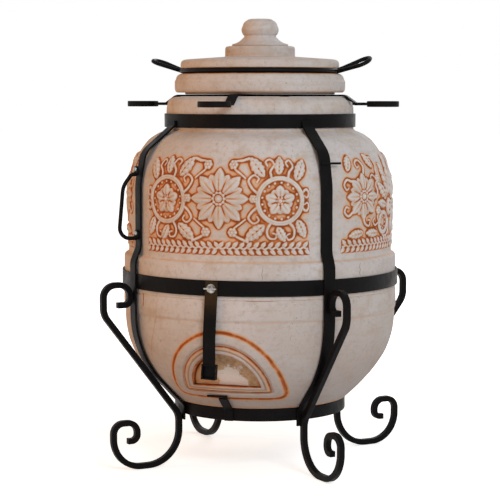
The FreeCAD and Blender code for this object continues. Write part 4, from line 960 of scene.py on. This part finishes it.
# Places round the jar in degrees and height, then width, wash and darkness
CRACKS = (
    (((287.8, 434), (288.1, 427), (287.7, 419), (288.0, 412), (287.6, 405)), 1.8, 0.1, 0.6),
    (((331.8, 435), (331.2, 428), (331.6, 420), (331.1, 414), (332.0, 407)), 2.0, 0.1, 0.75),
    (((231.1, 370), (231.5, 354), (231.0, 339)), 4.4, 1.0, 0.1),
    (
        ((241.7, 364), (240.7, 351), (240.2, 337), (239.8, 324), (238.4, 306), (237.2, 290),
         (235.5, 274), (234.1, 260), (232.3, 246), (231.9, 235), (233.1, 219), (238.0, 209)),
        2.0, 0.35, 0.25,
    ),
    (((281.0, 366), (286.0, 366.4), (293.0, 365.6)), 2.0, 0.4, 0.35),
    (((300.0, 300), (299.2, 292), (299.9, 284)), 1.4, 0.2, 0.35),
    (((60.0, 352), (58.6, 330), (59.4, 306), (57.8, 282), (58.9, 262)), 1.8, 0.3, 0.3),
    (((118.0, 434), (117.4, 424), (118.2, 413), (117.7, 404)), 1.6, 0.1, 0.5),
    (((20.0, 520), (19.2, 506), (20.3, 492), (19.6, 480)), 1.4, 0.1, 0.4),
)


def cracks():
    """Hairlines and runs of wash, as thin strips that lie on the clay."""
    for number, (places, width, stain, dark) in enumerate(CRACKS, 1):
        line = course([(radians(turn) * JAR_RADIUS, height) for turn, height in places], 1.5)
        shares = np.linspace(0, 1, len(line))
        line[:, 0] += [0.9 * noise.noise(Vector((arc / 7, height / 7, 3))) for arc, height in line]
        ahead = np.gradient(line, axis=0)
        sideways = np.column_stack([-ahead[:, 1], ahead[:, 0]]) / np.hypot(*ahead.T)[:, None]
        half = width / 2 * (np.sin(pi * shares) ** 0.4 + 0.05)[:, None]
        vertices, wash, black = [], [], []
        for offset, lift, strength in CRACK_SECTION:
            for arc, height in line + sideways * half * offset:
                angle = arc / JAR_RADIUS
                radius = np.interp(height, *(BOWL_FACE if height < SEAM else JAR_FACE))
                x, y = radius * cos(angle), radius * sin(angle)
                out = 1 + (lift - hand_worked(x, y, height)) / radius
                vertices.append((x * out, y * out, height))
                wash.append(stain * strength)
                black.append(dark * strength)
        build(f"crack_{number}", vertices, grid_faces(4, len(line)), "jar", "clay", clay,
              stain=wash, soot=black)


# Ironwork ---------------------------------------------------------------------------------------

# Starts of the nodes' names, how far their edges are broken, material
FORGINGS = (
    (("strap_", "leg_", "mid_band", "base_band", "neck_band"), 0.9, black_iron),
    (("latch_bar", "latch_pad"), 0.6, latch_iron),
    (("keeper_tab", "bottom_support"), 0.6, black_iron),
    (("hanger_arm", "hanger_hub"), 0.6, hanger_steel),
    (("hanger_hoop",), 1.8, hanger_steel),
)
PAINTED = (
    (("lid_ring", "carry_handle", "tool_peg", "keeper_pin"), black_iron),
    (("handle_rivets", "latch_stud", "latch_washer", "latch_wing_nut"), zinc),
    (("grate",), cast_iron),
    (("ash_pit", "hearth_ring"), fire_clay),
)
# The right loop's foot, its course out from there and how much thicker it is than in the solids
LOOP_FOOT, LOOP_COURSE, LOOP_GAIN = (167.7, 0, 819.5), (73, 0, 22), 0.9
# Half the bar's width and height, and each section's distance from the axis and share of full size
TAIL_HALF_WIDTH, TAIL_HALF_HEIGHT, TAIL_LEVEL, TAIL_FLATNESS = 4.2, 3.8, 750, 0.8
TAIL_SECTIONS = ((199.5, 0.35), (201, 0.8), (206, 1.0), (226, 1.0), (236, 0.9), (240, 0.5))
PAD_WALL = 1.4


def remade(node, ending, mesh, material):
    """A worked copy of a node's mesh, as a piece in the node's place."""
    mesh.materials.clear()
    mesh.materials.append(material)
    piece = bpy.data.objects.new(node + ending, mesh)
    bpy.context.scene.collection.objects.link(piece)
    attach(piece, frame["nodes"][node]["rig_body"])
    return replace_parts(piece, node)


def forged(node, width, material):
    """A CAD bar with its sharp edges broken, as on rolled and hammered iron."""
    mesh = frame["nodes"][node].data.copy()
    work = bmesh.new()
    work.from_mesh(mesh)
    bmesh.ops.remove_doubles(work, verts=work.verts, dist=2e-6)
    bmesh.ops.dissolve_limit(work, angle_limit=radians(0.6), verts=work.verts, edges=work.edges)
    work.to_mesh(mesh)
    work.free()
    mesh.polygons.foreach_set("use_smooth", [True] * len(mesh.polygons))
    piece = remade(node, "_forged", mesh, material)
    bevel = piece.modifiers.new("edges", "BEVEL")
    bevel.width, bevel.segments = width * MM, 3 if width > 1 else 2
    bevel.limit_method, bevel.angle_limit = "ANGLE", radians(35)
    piece.modifiers.new("shading", "WEIGHTED_NORMAL")
    shown = piece.evaluated_get(bpy.context.evaluated_depsgraph_get())
    piece.data = bpy.data.meshes.new_from_object(shown)
    piece.modifiers.clear()


def ironwork():
    """Every bar of the cage, the latch and the hanger."""
    for node in frame["nodes"]:
        for starts, width, material in FORGINGS:
            if node.startswith(starts):
                forged(node, width, material)


def twisted(node, side, degrees):
    """A loop of the lid, turned about its own length as its smith left it."""
    foot, length = Vector(LOOP_FOOT) * MM, Vector(LOOP_COURSE).normalized()
    foot.x, length.x = foot.x * side, length.x * side
    mesh = frame["nodes"][node].data.copy()
    for vertex in mesh.vertices:
        vertex.co += vertex.normal * LOOP_GAIN * MM
    turn = Matrix.Rotation(radians(degrees), 4, length)
    mesh.transform(Matrix.Translation(foot) @ turn @ Matrix.Translation(-foot))
    remade(node, "_twisted", mesh, black_iron)


def hoop_tails():
    """The hoops' bars run back along their arms to the neck."""
    def flattened(share):
        return share * min(1, TAIL_FLATNESS / max(abs(share), 0.01))

    section = [
        (TAIL_HALF_WIDTH * flattened(cos(a)), TAIL_HALF_HEIGHT * flattened(sin(a)))
        for a in np.linspace(0, 2 * pi, 16, endpoint=False)
    ]
    count = len(section)
    for side, degrees in SIDES.items():
        across, out = -sin(radians(degrees)), cos(radians(degrees))
        points = []
        for radius, share in TAIL_SECTIONS:
            for wide, up in section:
                points.append((
                    radius * out + wide * share * across,
                    wide * share * out - radius * across, TAIL_LEVEL + up * share,
                ))
        faces = grid_faces(len(TAIL_SECTIONS), count, wrap_columns=True)
        faces += [tuple(range(count)), tuple(range(len(points) - count, len(points)))]
        build(f"hoop_tail_{side}", points, faces, "hanger", "hanger_steel", hanger_steel)


def pad_back():
    """Dark plate at the back of the latch bar's open end."""
    corners = np.array([tuple(v.co) for v in frame["nodes"]["latch_pad"].data.vertices]) / MM
    (left, front, low), (right, back, high) = corners.min(axis=0), corners.max(axis=0)
    middle = (back - front) * 0.55 + front
    points = [
        (x, y, z) for y in (middle, back - 0.4) for z in (low + PAD_WALL, high - PAD_WALL)
        for x in (left + PAD_WALL, right - PAD_WALL)
    ]
    faces = [(0, 1, 3, 2), (4, 6, 7, 5), (0, 4, 5, 1), (2, 3, 7, 6), (0, 2, 6, 4), (1, 5, 7, 3)]
    build("latch_pad_back", points, faces, "latch", "black_iron", black_iron, smooth=False)


def plain_paint():
    """Nodes that keep their CAD shape and get their finish."""
    for node, piece in frame["nodes"].items():
        for starts, material in PAINTED:
            if node.startswith(starts):
                for place in piece.material_slots:
                    place.material = material


# Stage ------------------------------------------------------------------------------------------


WORLD_LIGHT = 0.36
# Towards the right of the picture, and the world's tint on its left and its right
PICTURE_RIGHT = (0.956, 0.292, 0)
WARM_SIDE, COOL_SIDE = (1.0, 0.47, 0.15), (0.95, 0.98, 1.0)
FLOOR_PAINT = (0.85, 0.85, 0.85)
# The floor's own light as the camera sees it, under the oven, and where it fades to white
FLOOR_LIFT, FLOOR_NEAR, FLOOR_FAR = 0.66, 0.35, 1.1
WHITE = (1, 1, 1)
# Place, width in metres, power in watts, colour
LAMPS = {
    "key": ((2.5, -3.0, 2.5), 1.8, 84, (0.94, 0.98, 1.0)),
    "fill": ((-2.9, -1.9, 1.5), 1.4, 36, (1.0, 0.47, 0.13)),
    "back": ((0.6, 3.6, 2.2), 2.4, 46, (1.0, 0.985, 0.97)),
}
LAMP_AIM = (0, 0, 0.5)
LENS, SENSOR_WIDTH = 124.2, 36.0
CAMERA_PLACE = (1.063, -3.478, 0.7656)
CAMERA_DIP, CAMERA_TURN = 5.09, 17.3255


def floor():
    """Pale floor that keeps a soft shadow."""
    bpy.ops.mesh.primitive_plane_add(size=60, location=(0, 0, -0.0005))
    plane = bpy.context.object
    plane.name = "floor"
    paint = Paint("floor")
    away = paint.add("VectorMath", "Value", {0: paint.place}, operation="LENGTH")
    whiter = paint.fade(away, FLOOR_NEAR, FLOOR_FAR, FLOOR_LIFT, 1.0)
    paint.fill(paint.shader, {
        "Base Color": FLOOR_PAINT, "Roughness": 0.9, "Specular IOR Level": 0.0,
        "Emission Color": WHITE,
        "Emission Strength": paint.math("MULTIPLY", paint.seen_white(), whiter),
    })
    plane.data.materials.append(paint.material)


def surround():
    """White as the camera sees it, and as light dimmer, warmer on the left than on the right."""
    world = bpy.data.worlds.new("studio")
    bpy.context.scene.world = world
    world.use_nodes = True
    nodes = Nodes(world.node_tree)
    seen = nodes.seen_white()
    side = nodes.add(
        "VectorMath", "Value", {0: nodes.add("TexCoord", "Generated"), 1: PICTURE_RIGHT},
        operation="DOT_PRODUCT",
    )
    tint = nodes.mix(nodes.fade(side, -0.75, 0.15, smooth=False), WARM_SIDE, COOL_SIDE)
    nodes.fill(nodes.tree.nodes["Background"], {
        "Color": nodes.mix(seen, tint, WHITE), "Strength": nodes.fade(seen, 0, 1, WORLD_LIGHT, 1),
    })


def lights():
    """A big soft key from the front right, a warmer fill from the left, and one behind."""
    for name, (place, size, power, colour) in LAMPS.items():
        light = bpy.data.lights.new(name, "AREA")
        light.shape, light.size = "DISK", size
        light.energy, light.color = power, colour
        holder = bpy.data.objects.new(name, light)
        bpy.context.scene.collection.objects.link(holder)
        holder.location = place
        towards = Vector(LAMP_AIM) - Vector(place)
        holder.rotation_euler = towards.to_track_quat("-Z", "Y").to_euler()


def camera():
    """The photograph's view: a long lens, a little above the belt, turned right of the door."""
    data = bpy.data.cameras.new("camera")
    data.lens, data.sensor_width = LENS, SENSOR_WIDTH
    holder = bpy.data.objects.new("camera", data)
    bpy.context.scene.collection.objects.link(holder)
    holder.location = CAMERA_PLACE
    holder.rotation_euler = (radians(90 - CAMERA_DIP), 0, radians(CAMERA_TURN))
    bpy.context.scene.camera = holder


camera()
turned_clay()
relief_panels()
ash_door()
cracks()
ironwork()
pad_back()
hoop_tails()
twisted("lid_handle_right", 1, 18)
twisted("lid_handle_left", -1, -3)
plain_paint()
floor()
surround()
lights()
bpy.context.scene.view_settings.view_transform = "Standard"
